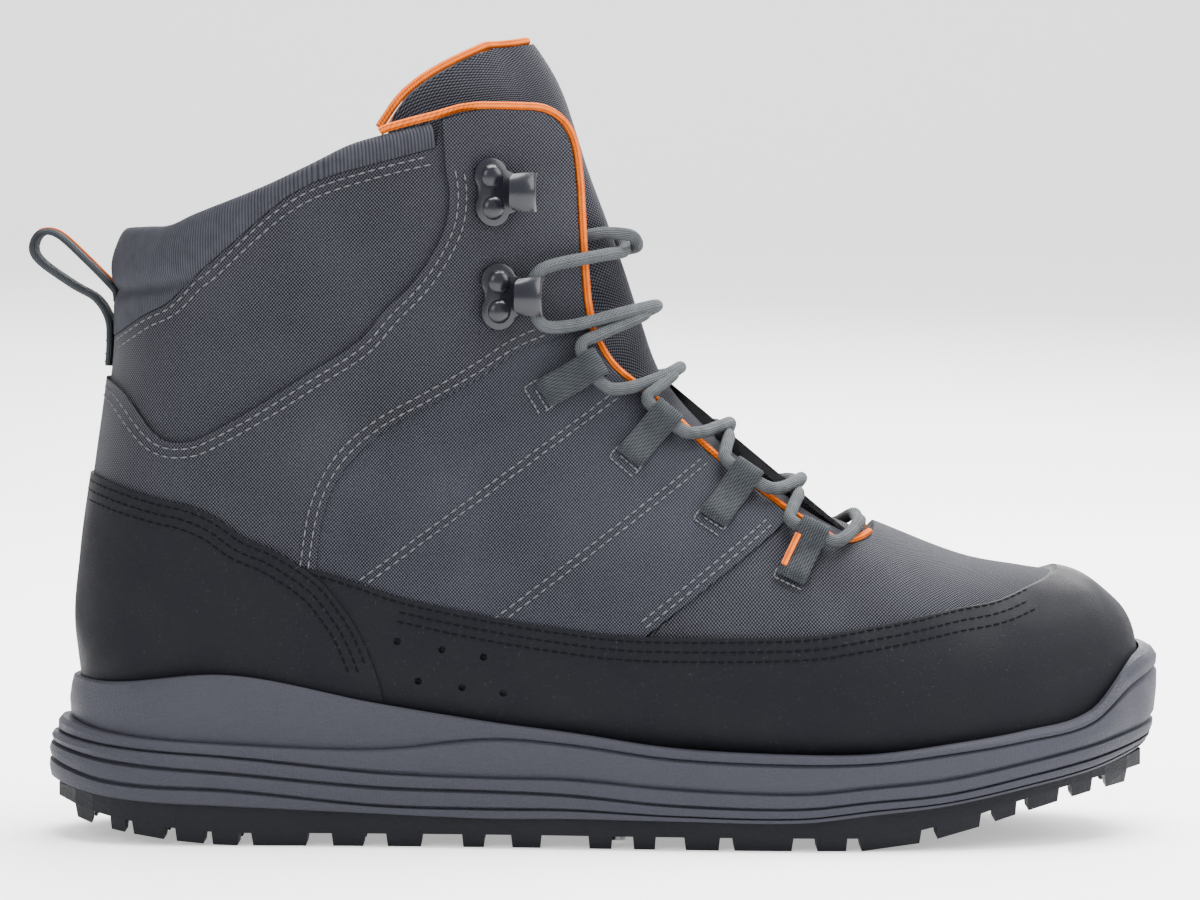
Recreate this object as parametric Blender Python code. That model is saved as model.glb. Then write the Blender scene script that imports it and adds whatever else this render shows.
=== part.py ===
# A laced wading boot for the right foot, standing empty on its sole.
# Metres. +X points to the toe, +Z up, and the outer (lateral) side faces -Y.
import math

import bmesh
import bpy
from mathutils import Vector

# Driving dimensions
LENGTH = 0.3185            # outsole, heel to toe
BALL_WIDTH = 0.101         # upper across the ball of the foot
SHAFT_WIDTH = 0.080        # upper across the shaft
SOLE_WIDTH = 0.115         # midsole across the ball
SOLE_HEIGHT = 0.045        # ground to the rim of the midsole beside the heel
INSTEP_HEIGHT = 0.130      # ground to the bend of the instep
SHAFT_HEIGHT = 0.206       # ground to the top of the flaps
WALL = 0.0024              # wall of the upper, lining included
FIT = 0.0003               # clearance between neighbouring pieces
RAND = 0.0014              # leather rand round the foot
COUNTER = 0.0019           # leather heel counter
OVERLAY = 0.0011           # woven ankle panel and flap
RIB_DEPTH = 0.0009         # grooves along the midsole
FLARE = 0.0072             # how far the midsole's foot stands out past its rim
TREAD = 0.0036             # depth of the lugs
LUG_DRAFT = 0.0008         # how much each lug narrows to its face
OPENING_INSET = 0.021      # sole edge to the opening under the upper
INSOLE = 0.0045            # footbed over the inside of the upper
COLLAR = 0.0065            # padded collar roll, outside to inside
TONGUE = 0.0055            # padded tongue
TONGUE_LEAN = 0.0050       # how far the tongue's wings lie in from its middle
PIPING = 0.0024            # cord along the flap and the top of the tongue
THIN_PIPING = 0.0016       # cord along the throat
LACE = 0.0034              # round lace
LOOP_WIDTH = 0.0087        # webbing of the lace loops
LOOP_WEB = 0.0011          # its thickness
PULL_WIDTH = 0.0150        # webbing of the pull loop
PULL_WEB = 0.0022
RIVET = 0.0064             # rivet heads
HOOK_PLATE = 0.0012
HOOK_WIDTH = 0.0076
HOOK_RISE = 0.0082         # hook's mouth above the flap
SECTIONS = 20              # sections along the last
AROUND = 20                # points round each section

# Heights are read on one scale: 0 at the ground, 1 at the midsole's rim,
# 2 at the instep and 3 at the top of the flaps. Lengths along the foot are
# shares of LENGTH from the heel.
HEIGHT_MARKS = (0.0, SOLE_HEIGHT, INSTEP_HEIGHT, SHAFT_HEIGHT)

# The last, a fan of sections from the toe round the ankle to the collar. Each
# section lies in a plane from its top (front) point to its under (back) point.
# half and shaft are shares of BALL_WIDTH and SHAFT_WIDTH that add up to half
# the width, shift and ridge move the section and its top towards the inner
# side, widest is the height of the widest place, low and high are the powers
# of the curves below and above it.
LAST_COLUMNS = (
    "top_x", "top_h", "under_x", "under_h",
    "half", "shaft", "shift", "ridge", "widest", "low", "high")
LAST_ROWS = (
    (0.977, 1.05, 0.976, 0.72, 0.12, 0.00, 0.070, 0.00, 0.45, 2.2, 2.2),
    (0.969, 1.18, 0.967, 0.61, 0.23, 0.00, 0.070, 0.00, 0.42, 2.5, 2.3),
    (0.951, 1.26, 0.948, 0.54, 0.31, 0.00, 0.065, 0.00, 0.40, 2.9, 2.3),
    (0.923, 1.33, 0.920, 0.49, 0.37, 0.00, 0.055, 0.01, 0.38, 3.2, 2.3),
    (0.879, 1.36, 0.879, 0.44, 0.43, 0.00, 0.040, 0.02, 0.37, 3.4, 2.2),
    (0.823, 1.40, 0.823, 0.41, 0.47, 0.00, 0.020, 0.03, 0.36, 3.6, 2.1),
    (0.754, 1.50, 0.747, 0.40, 0.50, 0.00, 0.000, 0.04, 0.35, 3.6, 2.0),
    (0.691, 1.60, 0.659, 0.40, 0.487, 0.00, -0.020, 0.05, 0.35, 3.6, 1.9),
    (0.637, 1.74, 0.559, 0.43, 0.446, 0.00, -0.035, 0.05, 0.35, 3.5, 1.9),
    (0.597, 1.87, 0.440, 0.49, 0.415, 0.00, -0.030, 0.05, 0.36, 3.4, 1.9),
    (0.562, 2.03, 0.301, 0.57, 0.19, 0.24, -0.020, 0.05, 0.37, 3.3, 2.0),
    (0.543, 2.24, 0.163, 0.62, 0.00, 0.46, -0.010, 0.04, 0.38, 3.2, 2.1),
    (0.529, 2.42, 0.062, 0.74, 0.00, 0.45, 0.000, 0.04, 0.40, 2.9, 2.1),
    (0.512, 2.62, 0.033, 1.12, 0.00, 0.455, 0.000, 0.03, 0.44, 2.6, 2.1),
    (0.496, 2.80, 0.036, 1.41, 0.00, 0.465, 0.000, 0.03, 0.47, 2.5, 2.1),
    (0.484, 2.96, 0.047, 1.71, 0.00, 0.475, 0.000, 0.03, 0.48, 2.5, 2.1),
    (0.474, 3.09, 0.058, 2.01, 0.00, 0.485, 0.000, 0.03, 0.48, 2.5, 2.1),
    (0.465, 3.21, 0.063, 2.28, 0.00, 0.495, 0.000, 0.03, 0.48, 2.5, 2.1),
    (0.455, 3.34, 0.066, 2.61, 0.00, 0.505, 0.000, 0.03, 0.48, 2.5, 2.1))

# Edges seen from the side, as (share of length, height mark)
ANKLE_EDGE = (
    (0.020, 2.01), (0.050, 2.01), (0.063, 1.98), (0.090, 1.88), (0.116, 1.80),
    (0.132, 1.80), (0.148, 1.82), (0.195, 1.92), (0.239, 2.03), (0.283, 2.14),
    (0.308, 2.26), (0.330, 2.36), (0.347, 2.45), (0.360, 2.58), (0.364, 2.70),
    (0.359, 2.82), (0.353, 3.20))
ANKLE_FRONT = (
    (0.560, 2.24), (0.484, 2.19), (0.457, 2.16), (0.424, 2.11), (0.389, 2.01),
    (0.345, 1.92), (0.311, 1.85), (0.283, 1.76), (0.264, 1.67), (0.253, 1.57),
    (0.248, 1.47), (0.245, 1.32))
RAND_EDGE = (
    (0.188, 1.45), (0.237, 1.39), (0.273, 1.35), (0.322, 1.29), (0.370, 1.25),
    (0.421, 1.215), (0.468, 1.19), (0.518, 1.17), (0.581, 1.165), (0.672, 1.17),
    (0.716, 1.19), (0.763, 1.22), (0.807, 1.25), (0.845, 1.27), (0.876, 1.31),
    (0.898, 1.34), (0.911, 1.38), (0.914, 1.50))
COUNTER_EDGE = (
    (0.000, 1.69), (0.041, 1.685), (0.080, 1.64), (0.110, 1.61), (0.135, 1.59),
    (0.160, 1.55), (0.182, 1.49), (0.207, 1.45), (0.229, 1.40), (0.251, 1.34),
    (0.267, 1.27), (0.283, 1.18), (0.298, 1.05), (0.305, 0.89), (0.309, 0.40))
THROAT_EDGE = (
    (0.463, 3.40), (0.463, 2.96), (0.470, 2.87), (0.474, 2.75), (0.476, 2.61),
    (0.478, 2.46), (0.481, 2.30), (0.485, 2.21), (0.493, 2.13), (0.510, 2.03),
    (0.549, 1.91), (0.597, 1.74), (0.650, 1.59), (0.669, 1.54), (0.691, 1.49),
    (0.706, 1.46), (0.724, 1.46), (0.738, 1.48), (0.748, 1.56))
COLLAR_SEAM = (
    (0.040, 2.14), (0.062, 2.16), (0.093, 2.24), (0.116, 2.29), (0.138, 2.38),
    (0.174, 2.51), (0.210, 2.64), (0.235, 2.71), (0.264, 2.76), (0.308, 2.81),
    (0.352, 2.86))
COLLAR_TOP = (
    (0.040, 2.54), (0.057, 2.56), (0.075, 2.57), (0.111, 2.575), (0.138, 2.62),
    (0.195, 2.71), (0.242, 2.80), (0.276, 2.87), (0.308, 2.91), (0.352, 2.955))
FLAP_TOP = (
    (0.352, 2.955), (0.389, 3.00), (0.424, 3.00), (0.446, 2.992), (0.4615, 2.947),
    (0.471, 2.86))
FORM_REACH = 0.012              # how far the forms go on above the last's top section

# Lace loops, top to bottom: foot and tip of each, seen from the side
LACE_LOOPS = (
    ((0.449, 1.96), (0.486, 2.04)), ((0.523, 1.75), (0.549, 1.86)),
    ((0.597, 1.55), (0.621, 1.66)), ((0.664, 1.36), (0.680, 1.47)))
LOOP_SEAT = 0.0012         # the webbing above the last's surface
LOOP_EYE = 0.0028          # radius of the eye at its tip
# Hooks: upper rivet, lower rivet and the tip they point to
HOOKS = (
    ((0.396, 2.757), (0.397, 2.640), (0.438, 2.697)),
    ((0.403, 2.368), (0.403, 2.258), (0.443, 2.312)))
HOOK_REACH = 0.0145        # plate's middle to the hook's nose
HOOK_SEAT = 0.0026         # middle of the plate above the last's surface
# Along the reach, above the plate in shares of HOOK_RISE, width in HOOK_WIDTH
HOOK_PROFILE = (
    (-0.28, 0.0, 1.6), (0.00, 0.0, 2.2), (0.28, 0.0, 1.9), (0.58, 0.05, 1.1),
    (0.86, 0.22, 1.0), (1.00, 0.52, 0.95), (0.90, 0.86, 0.9), (0.66, 1.0, 0.8))
RIVET_PROFILE = ((1.0, 0.0), (1.0, 0.12), (0.62, 0.34))
# The lace. On its way to the outer side it lies on top at each crossing.
LACE_OVER = 0.0074         # at a crossing, above the last's ridge
LACE_UNDER = -0.0006
LACE_SUMMITS = (1.64, 1.83, 2.03, 2.25)   # heights of its crossings
LACE_BAR = 1.56            # and of the bar at the toe end
LACE_RUN = 0.0060          # how far it runs straight on either side of an eye
LACE_FLAP = 0.0036         # where it runs over a flap's edge
# where it goes behind a flap, seen from the side
LACE_TUCK = ((0.486, 2.545), (0.470, 2.570), (0.452, 2.600))
BRIDGE_STEPS = 6           # steps of the lace from one eye to the next
BRIDGE_MARKS = (0.0, 0.3, 0.5, 0.7, 1.0)
# from a hook over the ridge to the other flap: shares of the hook's turn, heights
TUCK_NODES = ((0.62, 2.458), (0.26, 2.478), (0.0, 2.492), (-0.16, 2.53), (-0.36, 2.552))
BRIDGE_BEND = 2.0          # how far it keeps its way past an eye
HOOK_GRIP = 0.66           # the lace in the hook, as a share of its reach

# The collar's roll: height between its seam and its top, depth in shares of COLLAR
COLLAR_SECTION = (
    (0.0, 0.0), (0.30, -0.06), (0.65, -0.08), (0.90, 0.10), (1.0, 0.45),
    (0.92, 0.85), (0.65, 1.0), (0.0, 1.0))
COLLAR_PROUD = 0.0006
SEAM_TURN = 0.0030         # roll made too long below its seam, then cut to it
COLLAR_FROM = 12.0         # row of the last under the whole collar
COLLAR_STATIONS = 22

# The pull loop behind the collar: heights of its sewn end above the collar's
# seam, as shares of PULL_WIDTH, then its ring seen from the side
PULL_STEM = (-0.52, -0.10, 0.32)
PULL_LOOP = (
    (0.044, 2.300), (0.023, 2.352), (-0.005, 2.435), (-0.0125, 2.49),
    (-0.006, 2.545), (0.010, 2.540), (0.033, 2.455), (0.0535, 2.365))

# The tongue, in rows and turns of the last
TONGUE_FROM = 6.1
TONGUE_TOP = 17.6
TONGUE_SHOULDER = 0.75     # rows by which its top corners lie lower
TONGUE_WIDTHS = (0.055, 0.120, 0.160, 0.200)
TONGUE_CURL = 0.0035       # how far its top leans back
TONGUE_GAP = 0.0012        # under the wall, along the middle
TONGUE_WING = 0.085        # turn from which its wings lie in all the way
TONGUE_ROWS = 12
TONGUE_TURNS = 10

# The sole. Plan outline: middle line and half width as shares of SOLE_WIDTH.
OUTLINE_COLUMNS = ("x", "middle", "half")
OUTLINE_ROWS = (
    (0.00, 0.000, 0.357), (0.12, 0.000, 0.365), (0.28, -0.017, 0.361),
    (0.42, -0.035, 0.374), (0.55, -0.035, 0.420), (0.66, -0.017, 0.466),
    (0.74, 0.000, 0.484), (0.82, 0.018, 0.478), (0.90, 0.043, 0.486),
    (1.00, 0.064, 0.515))
HEEL_END = 0.135           # share of LENGTH over which the heel is rounded
TOE_END = 0.24             # and the toe
TOE_POWER = 2.2            # 2 is an ellipse, more is blunter

# Lines round its side as shares of SOLE_HEIGHT: the ground line of the tread,
# the midsole's lower edge, three grooves, a step and the rim.
LINE_COLUMNS = ("x", "ground", "edge", "low", "middle", "high", "step", "rim")
LINE_ROWS = (
    (0.00, 0.20, 0.36, 0.49, 0.59, 0.66, 0.78, 1.03),
    (0.06, 0.09, 0.29, 0.39, 0.52, 0.61, 0.69, 1.00),
    (0.17, 0.00, 0.25, 0.35, 0.455, 0.555, 0.635, 1.06),
    (0.30, 0.00, 0.21, 0.26, 0.375, 0.465, 0.61, 0.89),
    (0.40, 0.00, 0.185, 0.245, 0.355, 0.44, 0.68, 0.78),
    (0.47, 0.00, 0.19, 0.245, 0.335, 0.435, 0.65, 0.72),
    (0.56, 0.00, 0.185, 0.215, 0.28, 0.385, 0.57, 0.63),
    (0.67, 0.00, 0.18, 0.205, 0.265, 0.36, 0.54, 0.595),
    (0.735, 0.00, 0.23, 0.255, 0.31, 0.40, 0.55, 0.60),
    (0.80, 0.085, 0.28, 0.30, 0.35, 0.445, 0.60, 0.655),
    (0.87, 0.22, 0.37, 0.39, 0.445, 0.535, 0.67, 0.73),
    (0.93, 0.32, 0.455, 0.475, 0.53, 0.62, 0.76, 0.84),
    (0.97, 0.36, 0.535, 0.56, 0.60, 0.69, 0.98, 1.16),
    (1.00, 0.39, 0.60, 0.62, 0.65, 0.73, 1.07, 1.21))

# Rings of the midsole from rim to lower edge: the two lines it lies between
# and its share of the way, how far in it lies at heel and toe as shares of
# FLARE, and 1 where a groove runs.
RING_COLUMNS = ("above", "below", "share", "heel", "toe", "groove")
RING_ROWS = (
    ("rim", "rim", 0.0, 1.00, 0.70, 0),
    ("rim", "step", 0.45, 0.84, 0.05, 0),
    ("step", "step", 0.0, 0.78, 0.00, 1),
    ("step", "high", 0.35, 0.42, 0.05, 0),
    ("high", "high", 0.0, 0.34, 0.16, 1),
    ("high", "middle", 0.45, 0.12, 0.20, 0),
    ("middle", "middle", 0.0, 0.14, 0.26, 1),
    ("middle", "low", 0.45, 0.02, 0.32, 0),
    ("low", "low", 0.0, 0.04, 0.38, 1),
    ("low", "edge", 0.45, 0.00, 0.44, 0),
    ("edge", "edge", 0.0, 0.10, 0.52, 0))
FLARE_COLUMNS = ("x", "heel", "toe")
FLARE_ROWS = (
    (0.00, 1.00, 0.0), (0.06, 0.75, 0.0), (0.18, 0.45, 0.0), (0.34, 0.36, 0.0),
    (0.50, 0.22, 0.0), (0.66, 0.10, 0.0), (0.80, 0.06, 0.15), (0.92, 0.0, 0.65),
    (1.00, 0.00, 1.0))
HALF_STATIONS = 20         # stations along each side of the midsole

# Lugs: where each begins and ends along the edge, as shares of LENGTH.
EDGE_LUGS = (
    (0.029, 0.046), (0.063, 0.077), (0.083, 0.113), (0.122, 0.148),
    (0.154, 0.178), (0.189, 0.239), (0.260, 0.289), (0.308, 0.340),
    (0.375, 0.395), (0.418, 0.445), (0.486, 0.507), (0.525, 0.545),
    (0.570, 0.601), (0.612, 0.665), (0.685, 0.712), (0.723, 0.777),
    (0.790, 0.830), (0.842, 0.862), (0.872, 0.901), (0.912, 0.932),
    (0.944, 0.966))
OUTSOLE_ENDS = (0.012, 0.980)
OUTSOLE_INSET = 0.0032     # how far the outsole lies inside the midsole
LUG_COLUMNS_ACROSS = (-1.0, -0.62, -0.44, -0.06, 0.10, 0.46, 0.64, 1.0)


def side(point):
    """A (share, height mark) pair as real x and z."""
    share, mark = point
    step = min(max(int(mark), 0), len(HEIGHT_MARKS) - 2)
    low, high = HEIGHT_MARKS[step], HEIGHT_MARKS[step + 1]
    return share * LENGTH, low + (high - low) * (mark - step)


def sides(points):
    return [side(point) for point in points]


def hermite(xs, ys, x):
    """A smooth curve through (xs, ys), read at x."""
    last = len(xs) - 1
    x = min(max(x, xs[0]), xs[last])
    k = 0
    while k < last - 1 and x > xs[k + 1]:
        k += 1

    def slope(i):
        a, b = max(i - 1, 0), min(i + 1, last)
        return (ys[b] - ys[a]) / (xs[b] - xs[a])

    width = xs[k + 1] - xs[k]
    t = (x - xs[k]) / width
    rise = ys[k] * (1 + 2 * t) * (1 - t) ** 2 + ys[k + 1] * t * t * (3 - 2 * t)
    return rise + width * t * (1 - t) * (slope(k) * (1 - t) - slope(k + 1) * t)


def read_table(columns, rows, name, x):
    column = columns.index(name)
    return hermite([row[0] for row in rows], [row[column] for row in rows], x)


LAST_CACHE = {}


def last_section(u):
    """Section u of the last, counted in rows of the table."""
    key = round(u, 5)
    if key not in LAST_CACHE:
        ranks = list(range(len(LAST_ROWS)))
        values = [hermite(ranks, [row[c] for row in LAST_ROWS], u)
                  for c in range(len(LAST_COLUMNS))]
        row = dict(zip(LAST_COLUMNS, values))
        top, under = side((row["top_x"], row["top_h"])), side((row["under_x"], row["under_h"]))
        row["under"] = Vector((under[0], 0.0, under[1]))
        row["rise"] = Vector((top[0], 0.0, top[1])) - row["under"]
        row["width"] = row["half"] * BALL_WIDTH + row["shaft"] * SHAFT_WIDTH
        LAST_CACHE[key] = row
    return LAST_CACHE[key]


def power(value, exponent):
    return math.copysign(abs(value) ** exponent, value)


def last_point(u, v):
    """A point of the last: v runs 0 to 1 from the top round the outer side."""
    row = last_section(u)
    angle = 2 * math.pi * v
    up, out = math.cos(angle), math.sin(angle)
    curve = row["high"] if up > 0 else row["low"]
    reach = 1 - row["widest"] if up > 0 else row["widest"]
    height = row["widest"] + reach * power(up, 2 / curve)
    across = -row["width"] * power(out, 2 / curve)
    middle = row["shift"] * BALL_WIDTH + row["ridge"] * BALL_WIDTH * height
    point = row["under"] + row["rise"] * height
    point.y = middle + across
    return point


TOP_ROW = len(LAST_ROWS) - 1
NUDGE = 0.012


def last_normal(u, v):
    along = last_point(min(u + NUDGE, TOP_ROW), v) - last_point(max(u - NUDGE, 0), v)
    around = last_point(u, v + NUDGE) - last_point(u, v - NUDGE)
    return along.cross(around).normalized()


def last_at(u, v, offset):
    return last_point(u, v) + last_normal(u, v) * offset


def new_object(name, mesh_maker, finish=None, smooth=True):
    """One closed mesh as an object, with its faces turned outwards."""
    bm = bmesh.new()
    mesh_maker(bm)
    bmesh.ops.recalc_face_normals(bm, faces=bm.faces)
    mesh = bpy.data.meshes.new(name)
    bm.to_mesh(mesh)
    bm.free()
    if smooth:
        mesh.shade_smooth()
        mesh.set_sharp_from_angle(angle=math.radians(38))
    piece = bpy.data.objects.new(name, mesh)
    bpy.context.scene.collection.objects.link(piece)
    piece.parent = boot
    if finish is None:
        piece.hide_render = True
        piece.display_type = "WIRE"
    else:
        mesh.materials.append(finish)
    return piece


def cut(piece, cutter, operation="DIFFERENCE", solver="EXACT"):
    modifier = piece.modifiers.new(operation.title(), "BOOLEAN")
    modifier.operation = operation
    modifier.solver = solver
    modifier.object = cutter
    return piece


def skin_rings(bm, rings, closed=True, caps=True):
    """Triangles between rings of points; caps close both ends with a fan."""
    rows = [[bm.verts.new(point) for point in ring] for ring in rings]
    count = len(rows[0])
    turns = count if closed else count - 1
    for a, b in zip(rows, rows[1:]):
        for j in range(turns):
            k = (j + 1) % count
            bm.faces.new((a[j], a[k], b[k]))
            bm.faces.new((a[j], b[k], b[j]))
    if caps:
        for row in (rows[0], rows[-1]):
            middle = bm.verts.new(sum((vert.co for vert in row), Vector()) / count)
            for j in range(count):
                bm.faces.new((row[j], row[(j + 1) % count], middle))
    return rows


def form(name, offset, finish=None):
    """The whole last, grown or shrunk by an offset, as a closed solid.

    The smaller a form is, the higher it reaches above the collar, so that it
    opens every larger form that it is cut from.
    """
    rise = last_section(TOP_ROW)["rise"].normalized()
    stretch = Vector((-rise.z, 0.0, rise.x)) * (FORM_REACH - 2 * offset)

    def make(bm):
        rings = []
        for i in range(SECTIONS + 1):
            u = TOP_ROW * i / SECTIONS
            rings.append([last_at(u, j / AROUND, offset) for j in range(AROUND)])
        rings.append([point + stretch for point in rings[-1]])
        skin_rings(bm, rings)
    return new_object(name, make, finish)


def prism(name, outline):
    """A side-view outline extruded across the whole boot."""
    def make(bm):
        ends = [[bm.verts.new((x, y, z)) for x, z in outline] for y in (-SOLE_WIDTH, SOLE_WIDTH)]
        bm.faces.new(ends[0])
        bm.faces.new(ends[1])
        for j in range(len(outline)):
            k = (j + 1) % len(outline)
            bm.faces.new((ends[0][j], ends[0][k], ends[1][k], ends[1][j]))
    return new_object(name, make, smooth=False)


def shifted(points, ahead, up):
    return [(x + ahead, z + up) for x, z in points]


def half_plan(x):
    """Middle line and half width of the sole at a share of its length."""
    full = 1.0
    if x < HEEL_END:
        full = math.sqrt(max(1 - ((HEEL_END - x) / HEEL_END) ** 2, 0.0))
    if x > 1 - TOE_END:
        full = max(1 - ((x - 1 + TOE_END) / TOE_END) ** TOE_POWER, 0.0) ** (1 / TOE_POWER)
    middle = read_table(OUTLINE_COLUMNS, OUTLINE_ROWS, "middle", x) * SOLE_WIDTH
    half = read_table(OUTLINE_COLUMNS, OUTLINE_ROWS, "half", x) * SOLE_WIDTH
    return middle, half * full


def plan_ring(inset):
    """The sole's outline from the heel round the outer side and the toe."""
    points = []
    for i in range(2 * HALF_STATIONS):
        x = 0.5 * (1 - math.cos(math.pi * i / HALF_STATIONS))
        middle, half = half_plan(x)
        outer = i <= HALF_STATIONS
        points.append(Vector((x * LENGTH, middle - half if outer else middle + half)))
    moved = []
    for i, point in enumerate(points):
        along = points[(i + 1) % len(points)] - points[i - 1]
        outwards = Vector((along.y, -along.x)).normalized()
        moved.append(point - outwards * inset(point.x / LENGTH))
    return moved


def line_height(name, x):
    return max(read_table(LINE_COLUMNS, LINE_ROWS, name, x), 0.0) * SOLE_HEIGHT


def bridge_sides(bm, ring):
    """Closes a ring of the sole with strips from side to side."""
    count = len(ring)
    half = count // 2
    bm.faces.new((ring[0], ring[1], ring[count - 1]))
    for i in range(1, half - 1):
        bm.faces.new((ring[i], ring[i + 1], ring[count - i - 1], ring[count - i]))
    bm.faces.new((ring[half - 1], ring[half], ring[half + 1]))


def make_midsole(bm):
    rings = []
    for row in RING_ROWS:
        ring = dict(zip(RING_COLUMNS, row))

        def inset(x):
            heel = ring["heel"] * read_table(FLARE_COLUMNS, FLARE_ROWS, "heel", x)
            toe = ring["toe"] * read_table(FLARE_COLUMNS, FLARE_ROWS, "toe", x)
            return FLARE * (heel + toe) + RIB_DEPTH * ring["groove"]

        points = []
        for spot in plan_ring(inset):
            x = spot.x / LENGTH
            above, below = line_height(ring["above"], x), line_height(ring["below"], x)
            points.append((spot.x, spot.y, above + (below - above) * ring["share"]))
        rings.append(points)
    rows = skin_rings(bm, rings, caps=False)
    bridge_sides(bm, rows[0])
    bridge_sides(bm, rows[-1])


def make_outsole(bm):
    """A plate with lugs: a grid of stations along and columns across."""
    stations = [OUTSOLE_ENDS[0]] + [x for lug in EDGE_LUGS for x in lug] + [OUTSOLE_ENDS[1]]
    grids = {"top": [], "under": []}
    for x in stations:
        middle, half = half_plan(x)
        toe = read_table(FLARE_COLUMNS, FLARE_ROWS, "toe", x)
        half -= OUTSOLE_INSET + FLARE * RING_ROWS[-1][4] * toe
        top = line_height("edge", x) - FIT
        under = line_height("ground", x) + TREAD
        spots = [(x * LENGTH, middle + half * share) for share in LUG_COLUMNS_ACROSS]
        grids["top"].append([bm.verts.new((a, b, top)) for a, b in spots])
        grids["under"].append([bm.verts.new((a, b, under)) for a, b in spots])
    across = len(LUG_COLUMNS_ACROSS) - 1
    last = len(stations) - 1
    for i in range(last):
        for j in range(across):
            bm.faces.new([grids["top"][a][b] for a, b in ((i, j), (i + 1, j), (i + 1, j + 1), (i, j + 1))])
            cell = [grids["under"][a][b] for a, b in ((i, j), (i, j + 1), (i + 1, j + 1), (i + 1, j))]
            edge_lug = j in (0, across - 1) and i % 2 == 1
            inner_lug = j in (2, 4) and i % 4 == j - 1
            if edge_lug or inner_lug:
                add_lug(bm, cell)
            else:
                bm.faces.new(cell)
        for j in (0, across):
            bm.faces.new((grids["top"][i][j], grids["top"][i + 1][j],
                          grids["under"][i + 1][j], grids["under"][i][j]))
    for i in (0, last):
        for j in range(across):
            bm.faces.new((grids["top"][i][j], grids["top"][i][j + 1],
                          grids["under"][i][j + 1], grids["under"][i][j]))


def add_lug(bm, cell):
    middle = sum((vert.co for vert in cell), Vector()) / len(cell)
    face = []
    for vert in cell:
        drafted = vert.co + (middle - vert.co).normalized() * LUG_DRAFT
        face.append(bm.verts.new((drafted.x, drafted.y, line_height("ground", drafted.x / LENGTH))))
    for j in range(4):
        k = (j + 1) % 4
        bm.faces.new((cell[j], cell[k], face[k], face[j]))
    bm.faces.new(face)


def locate(spot, inner=False):
    """Row and turn of the last's surface point at a side-view spot (x, z)."""
    def miss(u, v):
        point = last_point(u, v)
        return point.x - spot[0], point.z - spot[1]

    starts = [(TOP_ROW * i / 36, 0.02 + 0.46 * j / 16) for i in range(37) for j in range(17)]
    u, v = min(starts, key=lambda s: sum(d * d for d in miss(*s)))
    for _ in range(12):
        dx, dz = miss(u, v)
        ux, uz = miss(u + NUDGE, v)
        vx, vz = miss(u, v + NUDGE)
        a, b, c, d = (ux - dx) / NUDGE, (vx - dx) / NUDGE, (uz - dz) / NUDGE, (vz - dz) / NUDGE
        scale = a * d - b * c
        if abs(scale) < 1e-12:
            break
        u = min(max(u - (d * dx - b * dz) / scale, 0.0), TOP_ROW)
        v = min(max(v - (a * dz - c * dx) / scale, 0.002), 0.498)
    return u, (1 - v if inner else v)


def on_last(spot, inner, offset):
    """A point above the last's surface at a side-view spot, on either side."""
    u, v = locate(spot, inner)
    return last_at(u, v, offset)


def spline(points, steps):
    """A smooth curve through points, with so many steps from each to the next."""
    points = [Vector(point) for point in points]
    curve = []
    for k in range(len(points) - 1):
        a = points[max(k - 1, 0)]
        b, c = points[k], points[k + 1]
        d = points[min(k + 2, len(points) - 1)]
        for s in range(steps):
            t = s / steps
            curve.append(b + 0.5 * t * ((c - a) + t * ((2 * a - 5 * b + 4 * c - d)
                                                      + t * (3 * b - a - 3 * c + d))))
    return curve + [points[-1]]


def tube(name, points, thickness, finish):
    """A cord along points, as a curve with a bevel and closed ends."""
    curve = bpy.data.curves.new(name, "CURVE")
    curve.dimensions = "3D"
    curve.bevel_depth = thickness / 2
    curve.bevel_resolution = 2
    curve.use_fill_caps = True
    line = curve.splines.new("POLY")
    line.points.add(len(points) - 1)
    for slot, point in zip(line.points, points):
        slot.co = (*point, 1.0)
    line.use_smooth = True
    curve.materials.append(finish)
    piece = bpy.data.objects.new(name, curve)
    bpy.context.scene.collection.objects.link(piece)
    piece.parent = boot
    return piece


def strip_rings(path, across, width, web):
    """Four-cornered rings along a path of flat webbing."""
    rings = []
    for k, point in enumerate(path):
        along = (path[min(k + 1, len(path) - 1)] - path[max(k - 1, 0)]).normalized()
        up = across.cross(along).normalized() * web / 2
        out = across * (width[k] if isinstance(width, list) else width) / 2
        rings.append([point - out - up, point + out - up, point + out + up, point - out + up])
    return rings


def strip(name, path, across, width, web, finish):
    def make(bm):
        rows = [[bm.verts.new(p) for p in ring] for ring in strip_rings(path, across, width, web)]
        for a, b in zip(rows, rows[1:]):
            for j in range(4):
                k = (j + 1) % 4
                bm.faces.new((a[j], a[k], b[k], b[j]))
        bm.faces.new(rows[0])
        bm.faces.new(rows[-1])
    return new_object(name, make, finish)


def opening_prism(name, inset, top):
    """The opening under the upper: the sole's outline drawn in, standing on the ground."""
    def make(bm):
        ring = [point for point in plan_ring(lambda x: inset)]
        low = [bm.verts.new((p.x, p.y, 0.0)) for p in ring[::2]]
        high = [bm.verts.new((p.x, p.y, top)) for p in ring[::2]]
        bm.faces.new(low)
        bm.faces.new(high)
        for j in range(len(low)):
            k = (j + 1) % len(low)
            bm.faces.new((low[j], low[k], high[k], high[j]))
    return new_object(name, make, smooth=False)


def feather_line(lift):
    """Under side of the last from the toe to the heel, lifted."""
    points = [side((row[2], row[3])) for row in LAST_ROWS[1:13]]
    toe = (LENGTH * 1.2, points[0][1])
    heel = (-LENGTH * 0.2, points[-1][1])
    return shifted([toe] + points + [heel], 0.0, lift)


def seam_height(line, x):
    """Height of a line seen from the side, which is straight from point to point."""
    points = sides(line)
    k = 0
    while k < len(points) - 2 and x > points[k + 1][0]:
        k += 1
    (x0, z0), (x1, z1) = points[k], points[k + 1]
    return z0 + (z1 - z0) * (x - x0) / (x1 - x0)


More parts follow.
